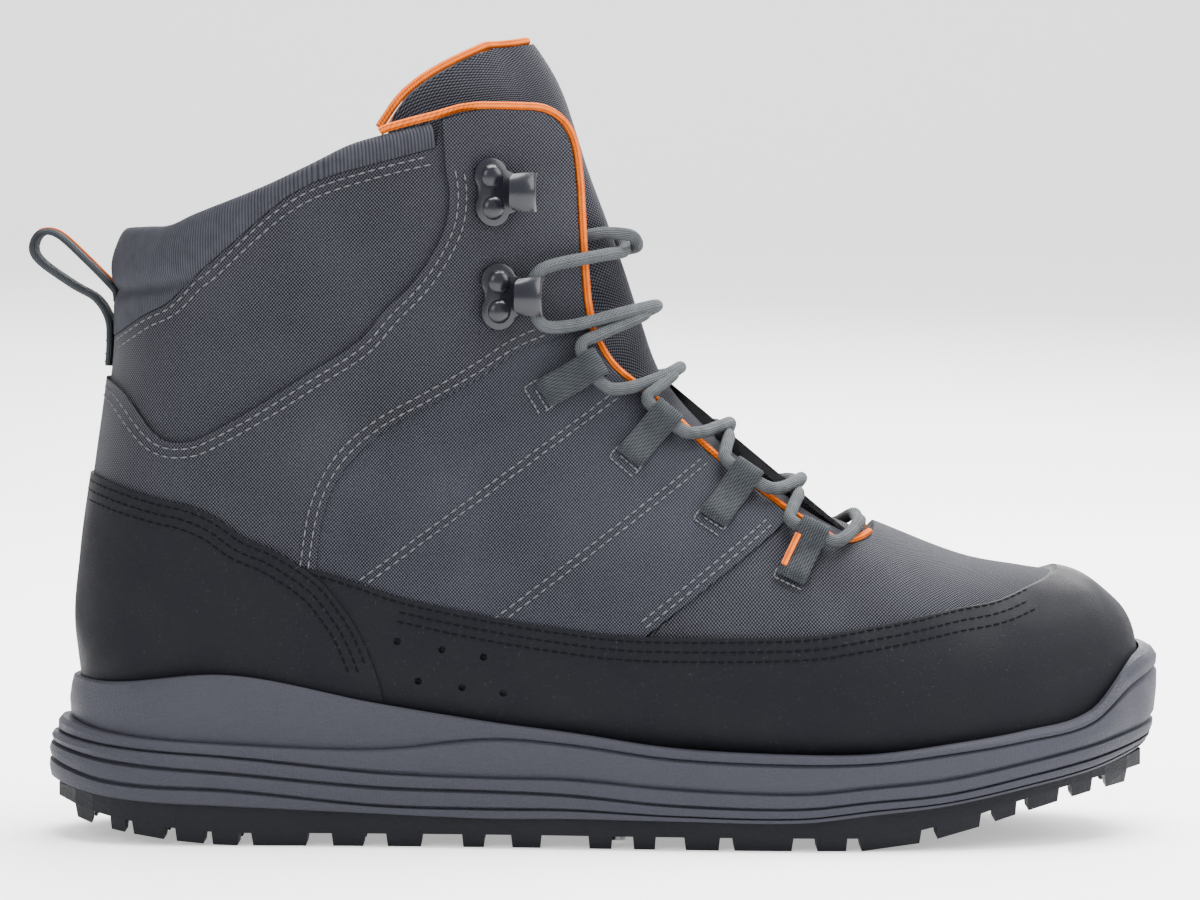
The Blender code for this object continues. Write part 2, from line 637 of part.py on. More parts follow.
def row_at_line(v, line, lift):
    """Row of the last where the turn v reaches a line seen from the side."""
    low, high = COLLAR_FROM, float(TOP_ROW)
    for _ in range(30):
        u = (low + high) / 2
        point = last_point(u, v)
        if point.z > seam_height(line, point.x) + lift:
            high = u
        else:
            low = u
    return (low + high) / 2


def make_collar(bm):
    """A padded roll from one flap round the back to the other."""
    start = 0.0
    while last_point(row_at_line(start, COLLAR_TOP, 0.0), start).x > side((0.350, 0))[0]:
        start += 0.002
    rings = []
    for i in range(COLLAR_STATIONS + 1):
        v = start + (1 - 2 * start) * i / COLLAR_STATIONS
        low = row_at_line(v, COLLAR_SEAM, -SEAM_TURN)
        high = row_at_line(v, COLLAR_TOP, 0.0)
        ring = []
        for rise, depth in COLLAR_SECTION:
            ring.append(last_at(low + (high - low) * rise, v, COLLAR_PROUD - COLLAR * depth))
        rings.append(ring)
    skin_rings(bm, rings)


def tongue_drop(u, v):
    """Depth of the tongue's face below the last's surface: more at its wings, and at its top."""
    wing = min(abs(v) / TONGUE_WING, 1.0)
    lean = TONGUE_LEAN * wing * wing * (3 - 2 * wing) * min(max((u - 8.5) / 3, 0.0), 1.0)
    return WALL + TONGUE_GAP + lean + TONGUE_CURL * max((u - 15.5) / 2, 0.0) ** 2


def make_tongue(bm):
    """A padded tongue that lies under the throat and stands above the flaps."""
    rings = []
    for i in range(TONGUE_ROWS + 1):
        share = i / TONGUE_ROWS
        outer, inner = [], []
        for j in range(TONGUE_TURNS + 1):
            turn = 2 * j / TONGUE_TURNS - 1
            top = TONGUE_TOP - TONGUE_SHOULDER * turn ** 2
            u = TONGUE_FROM + (top - TONGUE_FROM) * share
            width = hermite((6.0, 10.0, 13.0, 18.0), TONGUE_WIDTHS, u)
            v = turn * width
            drop = tongue_drop(u, v)
            edge = 0.55 + 0.45 * (1 - turn ** 4)
            outer.append(last_at(u, v, -drop))
            inner.append(last_at(u, v, -drop - TONGUE * edge))
        rings.append(outer + inner[::-1])
    rows = [[bm.verts.new(point) for point in ring] for ring in rings]
    count = len(rows[0])
    for a, b in zip(rows, rows[1:]):
        for j in range(count):
            k = (j + 1) % count
            bm.faces.new((a[j], a[k], b[k], b[j]))
    for row in (rows[0], rows[-1]):
        for j in range(TONGUE_TURNS):
            bm.faces.new((row[j], row[j + 1], row[count - 2 - j], row[count - 1 - j]))


def tongue_edge():
    """The line of cord along the tongue's top edge."""
    points = []
    for j in range(13):
        turn = (2 * j / 12 - 1) * 0.97
        u = TONGUE_TOP - TONGUE_SHOULDER * turn ** 2
        v = turn * TONGUE_WIDTHS[-1]
        drop = tongue_drop(u, v)
        rise = (last_at(u, v, -drop) - last_at(u - 0.5, v, -drop)).normalized()
        points.append(last_at(u, v, -drop - TONGUE / 3) + rise * (PIPING / 2 + FIT))
    return points


def loop_frame(place, inner):
    """Foot, forward direction, width direction and up of a lace loop's webbing."""
    foot = on_last(side(place[0]), inner, 0.0)
    tip = on_last(side(place[1]), inner, 0.0)
    u, v = locate(side(place[1]), inner)
    up = last_normal(u, v)
    forward = (tip - foot).normalized()
    across = up.cross(forward).normalized()
    return foot, tip, forward, across, forward.cross(across).normalized()


def loop_eye(place, inner):
    """Middle of the eye at a loop's tip, and the direction of the lace through it."""
    foot, tip, forward, across, up = loop_frame(place, inner)
    rise = LOOP_SEAT + LOOP_WEB / 2 + LOOP_EYE
    lace_way = across if across.z > 0 else -across
    return tip + up * rise, lace_way


def make_loop_path(place, inner):
    foot, tip, forward, across, up = loop_frame(place, inner)
    low = LOOP_SEAT + LOOP_WEB / 2
    eye = tip + up * (low + LOOP_EYE)
    path = [foot + up * low, foot.lerp(tip, 0.6) + up * low]
    for k in range(7):
        angle = math.radians(-90 + 36 * k)
        path.append(eye + forward * LOOP_EYE * math.cos(angle) + up * LOOP_EYE * math.sin(angle))
    path.append(foot.lerp(tip, 0.55) + up * (low + LOOP_WEB + FIT / 2))
    path.append(foot + up * (low + LOOP_WEB + FIT / 2))
    return path, across


def hook_frame(place, inner):
    high, low, tip = (side(spot) for spot in place)
    middle = ((high[0] + low[0]) / 2, (high[1] + low[1]) / 2)
    base = on_last(middle, inner, 0.0)
    u, v = locate(middle, inner)
    up = last_normal(u, v)
    forward = (on_last(tip, inner, 0.0) - base).normalized()
    across = up.cross(forward).normalized()
    return base, forward, across, forward.cross(across).normalized()


def make_hook(name, place, inner, finish):
    base, forward, across, up = hook_frame(place, inner)
    path = [base + forward * ahead * HOOK_REACH + up * (HOOK_SEAT + rise * HOOK_RISE)
            for ahead, rise, _ in HOOK_PROFILE]
    widths = [HOOK_WIDTH * width for _, _, width in HOOK_PROFILE]
    return strip(name, path, across, widths, HOOK_PLATE, finish)


def make_rivet(name, spot, place, inner, finish):
    base, forward, across, up = hook_frame(place, inner)
    centre = on_last(side(spot), inner, 0.0)
    centre = centre - up * (centre - base).dot(up) + up * (HOOK_SEAT + HOOK_PLATE / 2 + FIT)

    def make(bm):
        rings = []
        for reach, rise in RIVET_PROFILE:
            ring = []
            for k in range(8):
                angle = 2 * math.pi * k / 8
                spoke = forward * math.cos(angle) + across * math.sin(angle)
                ring.append(centre + spoke * reach * RIVET / 2 + up * rise * RIVET)
            rings.append(ring)
        skin_rings(bm, rings)
    return new_object(name, make, finish)


def hook_mouth(place, inner, share):
    """A point of the lace inside a hook: share runs from -1 below it to 1 above it."""
    base, forward, across, up = hook_frame(place, inner)
    way = across if across.z > 0 else -across
    reach = HOOK_REACH * (HOOK_GRIP + (1 - HOOK_GRIP) * 0.4 * abs(share))
    return base + forward * reach + way * share * HOOK_WIDTH + up * (HOOK_SEAT + HOOK_RISE * 0.5)


def lace_node(point, inner):
    """Row and turn of the last under a point of the lace; turns of the inner side are negative."""
    u, v = locate((point.x, point.z), inner)
    for _ in range(4):
        normal = last_normal(u, v)
        foot = point - normal * (point - last_point(u, v)).dot(normal)
        u, v = locate((foot.x, foot.z), inner)
    return u, v - 1 if inner else v


def row_at_height(turn, mark):
    """Row of the last that is at a height mark on a turn."""
    low, high = 0.0, TOP_ROW
    while high - low > NUDGE:
        middle = (low + high) / 2
        below = last_point(middle, turn).z < side((0.0, mark))[1]
        low, high = (middle, high) if below else (low, middle)
    return low


def lace_bridge(runs, lift, summit, landing):
    """The lace between the last points of one run and the first of the next, over the ridge."""
    nodes = [lace_node(point, inner) for point, inner in runs]
    lifts = [(runs[k][0] - last_point(*nodes[k])).length for k in (1, 2)]
    shoulder = LACE / 2 + 2 * FIT
    heights = (lifts[0], max(lift, shoulder), lift, max(landing, shoulder), lifts[1])
    crossing = row_at_height(0.0, summit)
    middle = (nodes[1][0] + nodes[2][0]) / 2
    points = []
    for k in range(1, BRIDGE_STEPS):
        t = k / BRIDGE_STEPS
        shares = (2 * t**3 - 3 * t**2 + 1, 3 * t**2 - 2 * t**3)
        bends = ((t**3 - 2 * t**2 + t) * BRIDGE_BEND, (t**3 - t**2) * BRIDGE_BEND)
        spot = []
        for axis in (0, 1):
            a, b, c, d = [node[axis] for node in nodes]
            spot.append(shares[0] * b + bends[0] * (b - a) + shares[1] * c + bends[1] * (d - c))
        spot[0] += (crossing - middle) * (4 * t * (1 - t)) ** 2
        points.append(last_at(*spot, hermite(BRIDGE_MARKS, heights, t)))
    return points


def lace_side(inner):
    """Half of the lace, from its first eye to its hidden end behind a flap."""
    runs = []
    for place in reversed(LACE_LOOPS):
        eye, way = loop_eye(place, inner)
        runs.append([(eye - way * LACE_RUN, inner), (eye + way * LACE_RUN, inner)])
        inner = not inner
    runs.append([(hook_mouth(HOOKS[1], inner, share), inner) for share in (-1.0, 0.0, 1.0)])
    path = [point for point, _ in runs[0]]
    for run, following, summit in zip(runs, runs[1:], LACE_SUMMITS):
        lift = LACE_OVER if run[0][1] else LACE_UNDER
        landing = max(LACE_FLAP, lift) if following is runs[-1] else lift
        path += lace_bridge(run[-2:] + following[:2], lift, summit, landing)
        path += [point for point, _ in following]
    lift = LACE_OVER if inner else LACE_UNDER
    turn = lace_node(path[-1], inner)[1]
    ends = [locate(side(spot), not inner) for spot in LACE_TUCK]
    ends = [(u, v if inner else v - 1) for u, v in ends]
    sinking = (lift + lace_bed(*ends[0])) / 2
    for (share, mark), height in zip(TUCK_NODES, (LACE_FLAP, lift, lift, lift, sinking)):
        path.append(last_at(row_at_height(turn * share, mark), turn * share, height))
    return path + [last_at(u, v, lace_bed(u, v)) for u, v in ends]


def lace_bed(u, v):
    """Height of the lace where it lies on the tongue."""
    return LACE / 2 + 2 * FIT - tongue_drop(u, v)


def lace_path():
    """The whole lace: the bar at the toe end joins its halves."""
    first, second = lace_side(False), lace_side(True)
    ends = [(first[1], False), (first[0], False), (second[0], True), (second[1], True)]
    return first[::-1] + lace_bridge(ends, LACE_UNDER, LACE_BAR, LACE_UNDER) + second


def edge_path(line, inner, offset, gap):
    """A cord's path beside an edge seen from the side, on the throat's side of it."""
    points = sides(line)
    path = []
    for k, point in enumerate(points):
        ahead = points[min(k + 1, len(points) - 1)]
        behind = points[max(k - 1, 0)]
        along = Vector((ahead[0] - behind[0], ahead[1] - behind[1])).normalized()
        x, z = point[0] + along.y * gap, point[1] - along.x * gap
        beside = on_last((x, min(z, SHAFT_HEIGHT - FIT)), inner, offset)
        path.append((x, beside.y, z))
    return path


def material(name, colour, roughness, metallic=0.0):
    finish = bpy.data.materials.new(name)
    finish.use_nodes = True
    shader = finish.node_tree.nodes["Principled BSDF"]
    shader.inputs["Base Color"].default_value = (*colour, 1.0)
    shader.inputs["Roughness"].default_value = roughness
    shader.inputs["Metallic"].default_value = metallic
    return finish


for item in list(bpy.data.objects):
    bpy.data.objects.remove(item, do_unlink=True)
boot = bpy.data.objects.new("boot", None)
bpy.context.scene.collection.objects.link(boot)

outsole_rubber = material("outsole_rubber", (0.026, 0.027, 0.034), 0.62)
midsole_foam = material("midsole_foam", (0.092, 0.097, 0.115), 0.66)
footbed_felt = material("footbed_felt", (0.05, 0.05, 0.055), 0.95)
fabric = material("woven_fabric", (0.075, 0.078, 0.085), 0.85)
leather = material("black_leather", (0.027, 0.027, 0.034), 0.72)
knit = material("collar_knit", (0.085, 0.085, 0.100), 0.9)
webbing = material("grey_webbing", (0.085, 0.095, 0.105), 0.85)
lace_cord = material("grey_lace", (0.16, 0.18, 0.20), 0.85)
orange = material("orange_cord", (0.72, 0.17, 0.022), 0.75)
black_metal = material("black_metal", (0.02, 0.021, 0.028), 0.28, 0.85)

# What the cuts are made with
NEST = FIT + max(RAND, COUNTER) + FIT
throat = prism(
    "throat_cutter",
    sides(THROAT_EDGE + ((0.748, 1.80), (0.86, 2.0), (0.86, 4.2), (0.463, 4.2))))
above_seam = prism(
    "collar_cutter",
    sides(((-0.2, 2.14),) + COLLAR_SEAM + FLAP_TOP + ((0.8, 2.80), (0.8, 4.2), (-0.2, 4.2))))
opening = opening_prism("opening_cutter", OPENING_INSET, SOLE_HEIGHT * 0.9)
inside = form("inside_of_the_wall", -WALL)
over_upper = form("over_the_upper", FIT)
counter_outline = sides(COUNTER_EDGE + ((0.309, 0.0), (-0.2, 0.0), (-0.2, 1.69)))
rand_outline = sides(RAND_EDGE + ((1.2, 1.50), (1.2, 0.0), (0.10, 0.0), (0.10, 1.40)))
counter_area = prism("counter_area", counter_outline)
counter_room = prism("counter_room", shifted(counter_outline, FIT, FIT))
rand_area = prism("rand_area", rand_outline)
rand_room = prism("rand_room", shifted(rand_outline, 0.0, FIT))
ankle_area = prism(
    "ankle_area",
    sides(((-0.2, 2.01),) + ANKLE_EDGE + ((0.60, 3.20),) + ANKLE_FRONT + ((-0.2, 1.32),)))

# Upper and what is sewn over it
upper = form("upper", 0.0, fabric)
for cutter in (inside, above_seam, throat, opening):
    cut(upper, cutter, solver="MANIFOLD")
ankle_panel = cut(form("ankle_panel", FIT + OVERLAY, fabric), ankle_area, "INTERSECT")
for cutter in (over_upper, above_seam, throat, counter_room, rand_room):
    cut(ankle_panel, cutter, solver="MANIFOLD")
heel_counter = cut(form("heel_counter", FIT + COUNTER, leather), counter_area, "INTERSECT")
for cutter in (over_upper, opening):
    cut(heel_counter, cutter, solver="MANIFOLD")
rand = cut(form("rand", FIT + RAND, leather), rand_area, "INTERSECT")
for cutter in (over_upper, counter_room, opening):
    cut(rand, cutter, solver="MANIFOLD")
collar = new_object("collar", make_collar, knit)
collar_outline = sides(((-0.2, 2.14),) + COLLAR_SEAM + ((0.352, 3.6), (-0.2, 3.6)))
cut(collar, prism("collar_area", shifted(collar_outline, -FIT, FIT)), "INTERSECT", "MANIFOLD")
tongue = new_object("tongue", make_tongue, fabric)

# Sole
midsole = new_object("midsole", make_midsole, midsole_foam)
cut(midsole, form("room_for_the_foot", NEST), solver="MANIFOLD")
outsole = new_object("outsole", make_outsole, outsole_rubber)
insole = form("insole", NEST - FIT, footbed_felt)
cut(insole, opening_prism("insole_plug", OPENING_INSET + FIT, SOLE_HEIGHT * 0.9), "INTERSECT")
cut(insole, form("inside_of_the_insole", -WALL - FIT), "UNION")
cut(insole, prism("above_the_insole", feather_line(WALL + INSOLE) + sides(((-0.2, 4.2), (1.2, 4.2)))))

# Lace with its loops and hooks, on both sides
for inner, where in ((False, "outer"), (True, "inner")):
    for rank, place in enumerate(LACE_LOOPS):
        path, across = make_loop_path(place, inner)
        strip(f"lace_loop_{where}_{rank + 1}", path, across, LOOP_WIDTH, LOOP_WEB, webbing)
    for level, place in zip(("upper", "lower"), HOOKS):
        make_hook(f"hook_{where}_{level}", place, inner, black_metal)
        for rank in (0, 1):
            make_rivet(f"rivet_{where}_{level}_{rank + 1}", place[rank], place, inner, black_metal)
    flap_edge = THROAT_EDGE[6:1:-1] + FLAP_TOP[4:0:-1]
    tube(f"flap_piping_{where}",
         edge_path(flap_edge, inner, -FIT, PIPING / 2 + FIT), PIPING, orange)
tube("lace", lace_path(), LACE, lace_cord)
tube("tongue_piping", tongue_edge(), PIPING, orange)

# Pull loop behind the collar
pull_seat = COLLAR_PROUD - COLLAR * min(depth for rise, depth in COLLAR_SECTION) + FIT + PULL_WEB / 2
pull_stem = [last_at(row_at_line(0.5, COLLAR_SEAM, PULL_WIDTH * rise), 0.5, pull_seat)
             for rise in PULL_STEM]
pull_ring = [(x, pull_stem[-1].y, z) for x, z in sides(PULL_LOOP)]
pull_path = spline(pull_stem + pull_ring, 2)
strip("pull_loop", pull_path, Vector((0, 1, 0)), PULL_WIDTH, PULL_WEB, webbing)

# The origin is the middle of the foot of the box round the boot
bpy.context.view_layer.update()
graph = bpy.context.evaluated_depsgraph_get()
corners = []
for piece in boot.children:
    if piece.hide_render:
        continue
    shape = piece.evaluated_get(graph)
    corners += [shape.matrix_world @ vert.co for vert in shape.to_mesh().vertices]
lowest = Vector([min(corner[axis] for corner in corners) for axis in range(3)])
highest = Vector([max(corner[axis] for corner in corners) for axis in range(3)])
boot.location = (-(lowest.x + highest.x) / 2, -(lowest.y + highest.y) / 2, -lowest.z)
print("origin moved by", tuple(boot.location))
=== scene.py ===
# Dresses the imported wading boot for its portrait: panels, seams, lace, sole and finishes.
# Lengths are in metres. Side views are read from the heel (x) and the floor (z).
import math

import bmesh
import bpy
from mathutils import Matrix, Vector
from mathutils.bvhtree import BVHTree


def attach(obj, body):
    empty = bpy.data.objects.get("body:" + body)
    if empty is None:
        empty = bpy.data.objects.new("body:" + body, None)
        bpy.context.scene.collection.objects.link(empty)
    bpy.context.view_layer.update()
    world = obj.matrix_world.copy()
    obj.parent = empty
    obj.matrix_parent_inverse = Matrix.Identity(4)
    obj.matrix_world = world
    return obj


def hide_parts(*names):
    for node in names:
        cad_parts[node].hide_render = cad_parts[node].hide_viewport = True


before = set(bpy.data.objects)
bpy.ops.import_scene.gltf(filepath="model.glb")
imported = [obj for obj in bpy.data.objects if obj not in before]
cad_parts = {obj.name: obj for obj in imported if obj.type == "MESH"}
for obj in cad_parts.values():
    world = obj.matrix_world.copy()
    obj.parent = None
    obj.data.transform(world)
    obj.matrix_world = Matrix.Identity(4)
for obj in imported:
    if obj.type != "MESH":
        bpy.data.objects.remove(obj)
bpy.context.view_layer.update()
moved = Vector((-0.15653, -0.0001, 0.0))  # from the boot's own measures to the frame

# camera at the height of the shaft, looking a little down
camera = {"place": (0.0015, -1.5, 0.180), "pitch": 87.3, "lens": 157.0}
eye = bpy.data.objects.new("portrait_camera", bpy.data.cameras.new("portrait_camera"))
eye.location = camera["place"]
eye.rotation_euler = (math.radians(camera["pitch"]), 0.0, 0.0)
eye.data.lens = camera["lens"]
bpy.context.scene.collection.objects.link(eye)
bpy.context.scene.camera = eye

# sizes of the whole boot, then the tables that its forms are read from: each row holds a share of
# the length and a height mark (0 floor, 1 top of the sole, 2 instep, 3 top of the shaft)
size = {
    "length": 0.3185, "ballWidth": 0.101, "shaftWidth": 0.080, "soleWidth": 0.115,
    "soleHeight": 0.045, "instepHeight": 0.130, "shaftHeight": 0.206, "wall": 0.0024,
    "fit": 0.0003, "flare": 0.0072, "lace": 0.0034, "piping": 0.0024}
heightMarks = (0.0, size["soleHeight"], size["instepHeight"], size["shaftHeight"])
lastColumns = (
    "top_x", "top_h", "under_x", "under_h",
    "half", "shaft", "shift", "ridge", "widest", "low", "high")
lastRows = (
    (0.977, 1.05, 0.976, 0.72, 0.12, 0.00, 0.070, 0.00, 0.45, 2.2, 2.2),
    (0.969, 1.18, 0.967, 0.61, 0.23, 0.00, 0.070, 0.00, 0.42, 2.5, 2.3),
    (0.951, 1.26, 0.948, 0.54, 0.31, 0.00, 0.065, 0.00, 0.40, 2.9, 2.3),
    (0.923, 1.33, 0.920, 0.49, 0.37, 0.00, 0.055, 0.01, 0.38, 3.2, 2.3),
    (0.879, 1.36, 0.879, 0.44, 0.43, 0.00, 0.040, 0.02, 0.37, 3.4, 2.2),
    (0.823, 1.40, 0.823, 0.41, 0.47, 0.00, 0.020, 0.03, 0.36, 3.6, 2.1),
    (0.754, 1.50, 0.747, 0.40, 0.50, 0.00, 0.000, 0.04, 0.35, 3.6, 2.0),
    (0.691, 1.60, 0.659, 0.40, 0.487, 0.00, -0.020, 0.05, 0.35, 3.6, 1.9),
    (0.637, 1.74, 0.559, 0.43, 0.446, 0.00, -0.035, 0.05, 0.35, 3.5, 1.9),
    (0.597, 1.87, 0.440, 0.49, 0.415, 0.00, -0.030, 0.05, 0.36, 3.4, 1.9),
    (0.562, 2.03, 0.301, 0.57, 0.19, 0.24, -0.020, 0.05, 0.37, 3.3, 2.0),
    (0.543, 2.24, 0.163, 0.62, 0.00, 0.46, -0.010, 0.04, 0.38, 3.2, 2.1),
    (0.529, 2.42, 0.062, 0.74, 0.00, 0.45, 0.000, 0.04, 0.40, 2.9, 2.1),
    (0.512, 2.62, 0.033, 1.12, 0.00, 0.455, 0.000, 0.03, 0.44, 2.6, 2.1),
    (0.496, 2.80, 0.036, 1.41, 0.00, 0.465, 0.000, 0.03, 0.47, 2.5, 2.1),
    (0.484, 2.96, 0.047, 1.71, 0.00, 0.475, 0.000, 0.03, 0.48, 2.5, 2.1),
    (0.474, 3.09, 0.058, 2.01, 0.00, 0.485, 0.000, 0.03, 0.48, 2.5, 2.1),
    (0.465, 3.21, 0.063, 2.28, 0.00, 0.495, 0.000, 0.03, 0.48, 2.5, 2.1),
    (0.455, 3.34, 0.066, 2.61, 0.00, 0.505, 0.000, 0.03, 0.48, 2.5, 2.1))
ankleFront = (
    (0.560, 2.24), (0.484, 2.19), (0.457, 2.16), (0.424, 2.11), (0.389, 2.01),
    (0.345, 1.92), (0.311, 1.85), (0.283, 1.76), (0.264, 1.67), (0.253, 1.57),
    (0.248, 1.47), (0.245, 1.32))
randEdge = (
    (0.188, 1.45), (0.237, 1.39), (0.273, 1.35), (0.322, 1.29), (0.370, 1.25),
    (0.421, 1.215), (0.468, 1.19), (0.518, 1.17), (0.581, 1.165), (0.672, 1.17),
    (0.716, 1.19), (0.763, 1.22), (0.807, 1.25), (0.845, 1.27), (0.876, 1.31),
    (0.898, 1.34), (0.911, 1.38), (0.914, 1.50))
counterEdge = (
    (0.000, 1.69), (0.041, 1.685), (0.080, 1.64), (0.110, 1.61), (0.135, 1.59),
    (0.160, 1.55), (0.182, 1.49), (0.207, 1.45), (0.229, 1.40), (0.251, 1.34),
    (0.267, 1.27), (0.283, 1.18), (0.298, 1.05), (0.305, 0.89), (0.309, 0.40))
throatEdge = (
    (0.463, 3.40), (0.463, 2.96), (0.470, 2.87), (0.474, 2.75), (0.476, 2.61),
    (0.478, 2.46), (0.481, 2.30), (0.485, 2.21), (0.493, 2.13), (0.510, 2.03),
    (0.549, 1.91), (0.597, 1.74), (0.650, 1.59), (0.669, 1.54), (0.691, 1.49),
    (0.706, 1.46), (0.724, 1.46), (0.738, 1.48), (0.748, 1.56))
collarSeam = (
    (0.040, 2.14), (0.062, 2.16), (0.093, 2.24), (0.116, 2.29), (0.138, 2.38),
    (0.174, 2.51), (0.210, 2.64), (0.235, 2.71), (0.264, 2.76), (0.308, 2.81),
    (0.352, 2.86))
collarTop = (
    (0.040, 2.54), (0.057, 2.56), (0.075, 2.57), (0.111, 2.575), (0.138, 2.62),
    (0.195, 2.71), (0.242, 2.80), (0.276, 2.87), (0.308, 2.91), (0.352, 2.955))
flapTop = (
    (0.352, 2.955), (0.389, 3.00), (0.424, 3.00), (0.446, 2.992), (0.4615, 2.947),
    (0.471, 2.86))
laceLoops = (
    ((0.449, 1.96), (0.486, 2.04)), ((0.523, 1.75), (0.549, 1.86)),
    ((0.597, 1.55), (0.621, 1.66)), ((0.664, 1.36), (0.680, 1.47)))
hookSpots = (
    ((0.396, 2.757), (0.397, 2.640), (0.438, 2.697)),
    ((0.403, 2.368), (0.403, 2.258), (0.443, 2.312)))
laceSummits = (1.64, 1.83, 2.03, 2.25)
laceTuck = ((0.486, 2.545), (0.470, 2.570), (0.452, 2.600))
tuckNodes = ((0.62, 2.458), (0.26, 2.478), (0.0, 2.492), (-0.16, 2.53), (-0.36, 2.552))
bridgeMarks = (0.0, 0.3, 0.5, 0.7, 1.0)
collarSection = (
    (0.0, 0.0), (0.30, -0.06), (0.65, -0.08), (0.90, 0.10), (1.0, 0.45),
    (0.92, 0.85), (0.65, 1.0), (0.0, 1.0))
pullLoopRing = (
    (0.044, 2.300), (0.023, 2.352), (-0.005, 2.435), (-0.0125, 2.49),
    (-0.006, 2.545), (0.010, 2.540), (0.033, 2.455), (0.0535, 2.365))
outlineColumns = ("x", "middle", "half")
outlineRows = (
    (0.00, 0.000, 0.357), (0.12, 0.000, 0.365), (0.28, -0.017, 0.361),
    (0.42, -0.035, 0.374), (0.55, -0.035, 0.420), (0.66, -0.017, 0.466),
    (0.74, 0.000, 0.484), (0.82, 0.018, 0.478), (0.90, 0.043, 0.486),
    (1.00, 0.064, 0.515))
lineColumns = ("x", "ground", "edge", "low", "middle", "high", "step", "rim")
lineRows = (
    (0.00, 0.20, 0.36, 0.49, 0.59, 0.66, 0.78, 1.03),
    (0.06, 0.09, 0.29, 0.39, 0.52, 0.61, 0.69, 1.00),
    (0.17, 0.00, 0.25, 0.35, 0.455, 0.555, 0.635, 1.06),
    (0.30, 0.00, 0.21, 0.26, 0.375, 0.465, 0.61, 0.89),
    (0.40, 0.00, 0.185, 0.245, 0.355, 0.44, 0.68, 0.78),
    (0.47, 0.00, 0.19, 0.245, 0.335, 0.435, 0.65, 0.72),
    (0.56, 0.00, 0.185, 0.215, 0.28, 0.385, 0.57, 0.63),
    (0.67, 0.00, 0.18, 0.205, 0.265, 0.36, 0.54, 0.595),
    (0.735, 0.00, 0.23, 0.255, 0.31, 0.40, 0.55, 0.60),
    (0.80, 0.085, 0.28, 0.30, 0.35, 0.445, 0.60, 0.655),
    (0.87, 0.22, 0.37, 0.39, 0.445, 0.535, 0.67, 0.73),
    (0.93, 0.32, 0.455, 0.475, 0.53, 0.62, 0.76, 0.84),
    (0.97, 0.36, 0.535, 0.56, 0.60, 0.69, 0.98, 1.16),
    (1.00, 0.39, 0.60, 0.62, 0.65, 0.73, 1.07, 1.21))
flareColumns = ("x", "heel", "toe")
flareRows = (
    (0.00, 1.00, 0.0), (0.06, 0.75, 0.0), (0.18, 0.45, 0.0), (0.34, 0.36, 0.0),
    (0.50, 0.22, 0.0), (0.66, 0.10, 0.0), (0.80, 0.06, 0.15), (0.92, 0.0, 0.65),
    (1.00, 0.00, 1.0))


def side(point):
    # a share of the length and a height mark as x and z
    share, mark = point
    step = min(max(int(mark), 0), len(heightMarks) - 2)
    low, high = heightMarks[step], heightMarks[step + 1]
    return share * size["length"], low + (high - low) * (mark - step)


def sides(points):
    return [side(point) for point in points]


def hermite(xs, ys, x):
    last = len(xs) - 1
    x = min(max(x, xs[0]), xs[last])
    k = 0
    while k < last - 1 and x > xs[k + 1]:
        k += 1

    def slope(i):
        a, b = max(i - 1, 0), min(i + 1, last)
        return (ys[b] - ys[a]) / (xs[b] - xs[a])

    width = xs[k + 1] - xs[k]
    t = (x - xs[k]) / width
    rise = ys[k] * (1 + 2 * t) * (1 - t) ** 2 + ys[k + 1] * t * t * (3 - 2 * t)
    return rise + width * t * (1 - t) * (slope(k) * (1 - t) - slope(k + 1) * t)


def readTable(columns, rows, name, x):
    column = columns.index(name)
    return hermite([row[0] for row in rows], [row[column] for row in rows], x)


sectionStore = {}
topRow = len(lastRows) - 1
nudge = 0.012


def lastSection(u):
    key = round(u, 5)
    if key not in sectionStore:
        ranks = list(range(len(lastRows)))
        values = [hermite(ranks, [row[c] for row in lastRows], u) for c in range(len(lastColumns))]
        row = dict(zip(lastColumns, values))
        top, under = side((row["top_x"], row["top_h"])), side((row["under_x"], row["under_h"]))
        row["under"] = Vector((under[0], 0.0, under[1]))
        row["rise"] = Vector((top[0], 0.0, top[1])) - row["under"]
        row["width"] = row["half"] * size["ballWidth"] + row["shaft"] * size["shaftWidth"]
        sectionStore[key] = row
    return sectionStore[key]


def power(value, exponent):
    return math.copysign(abs(value) ** exponent, value)


def lastPoint(u, v):
    # v runs 0 to 1 from the front ridge round the outer side
    row = lastSection(u)
    up, out = math.cos(2 * math.pi * v), math.sin(2 * math.pi * v)
    curve = row["high"] if up > 0 else row["low"]
    reach = 1 - row["widest"] if up > 0 else row["widest"]
    height = row["widest"] + reach * power(up, 2 / curve)
    point = row["under"] + row["rise"] * height
    middle = (row["shift"] + row["ridge"] * height) * size["ballWidth"]
    point.y = middle - row["width"] * power(out, 2 / curve)
    return point


def lastNormal(u, v):
    along = lastPoint(min(u + nudge, topRow), v) - lastPoint(max(u - nudge, 0), v)
    around = lastPoint(u, v + nudge) - lastPoint(u, v - nudge)
    return along.cross(around).normalized()


def lastAt(u, v, offset):
    return lastPoint(u, v) + lastNormal(u, v) * offset


def smoothLine(points, steps=6):
    points = [Vector(point) for point in points]
    curve = []
    for k in range(len(points) - 1):
        a, b, c = points[max(k - 1, 0)], points[k], points[k + 1]
        d = points[min(k + 2, len(points) - 1)]
        for s in range(steps):
            t = s / steps
            curve.append(b + 0.5 * t * ((c - a) + t * ((2 * a - 5 * b + 4 * c - d)
                                                      + t * (3 * b - a - 3 * c + d))))
    return curve + [points[-1]]


def evenly(points, pitch):
    # the same line with its points one pitch apart
    points = [Vector(point) for point in points]
    spaced, left = [points[0]], pitch
    for a, b in zip(points, points[1:]):
        span = (b - a).length
        while span >= left > 0:
            a = a.lerp(b, left / span)
            spaced.append(a)
            span -= left
            left = pitch
        left -= span
    return spaced


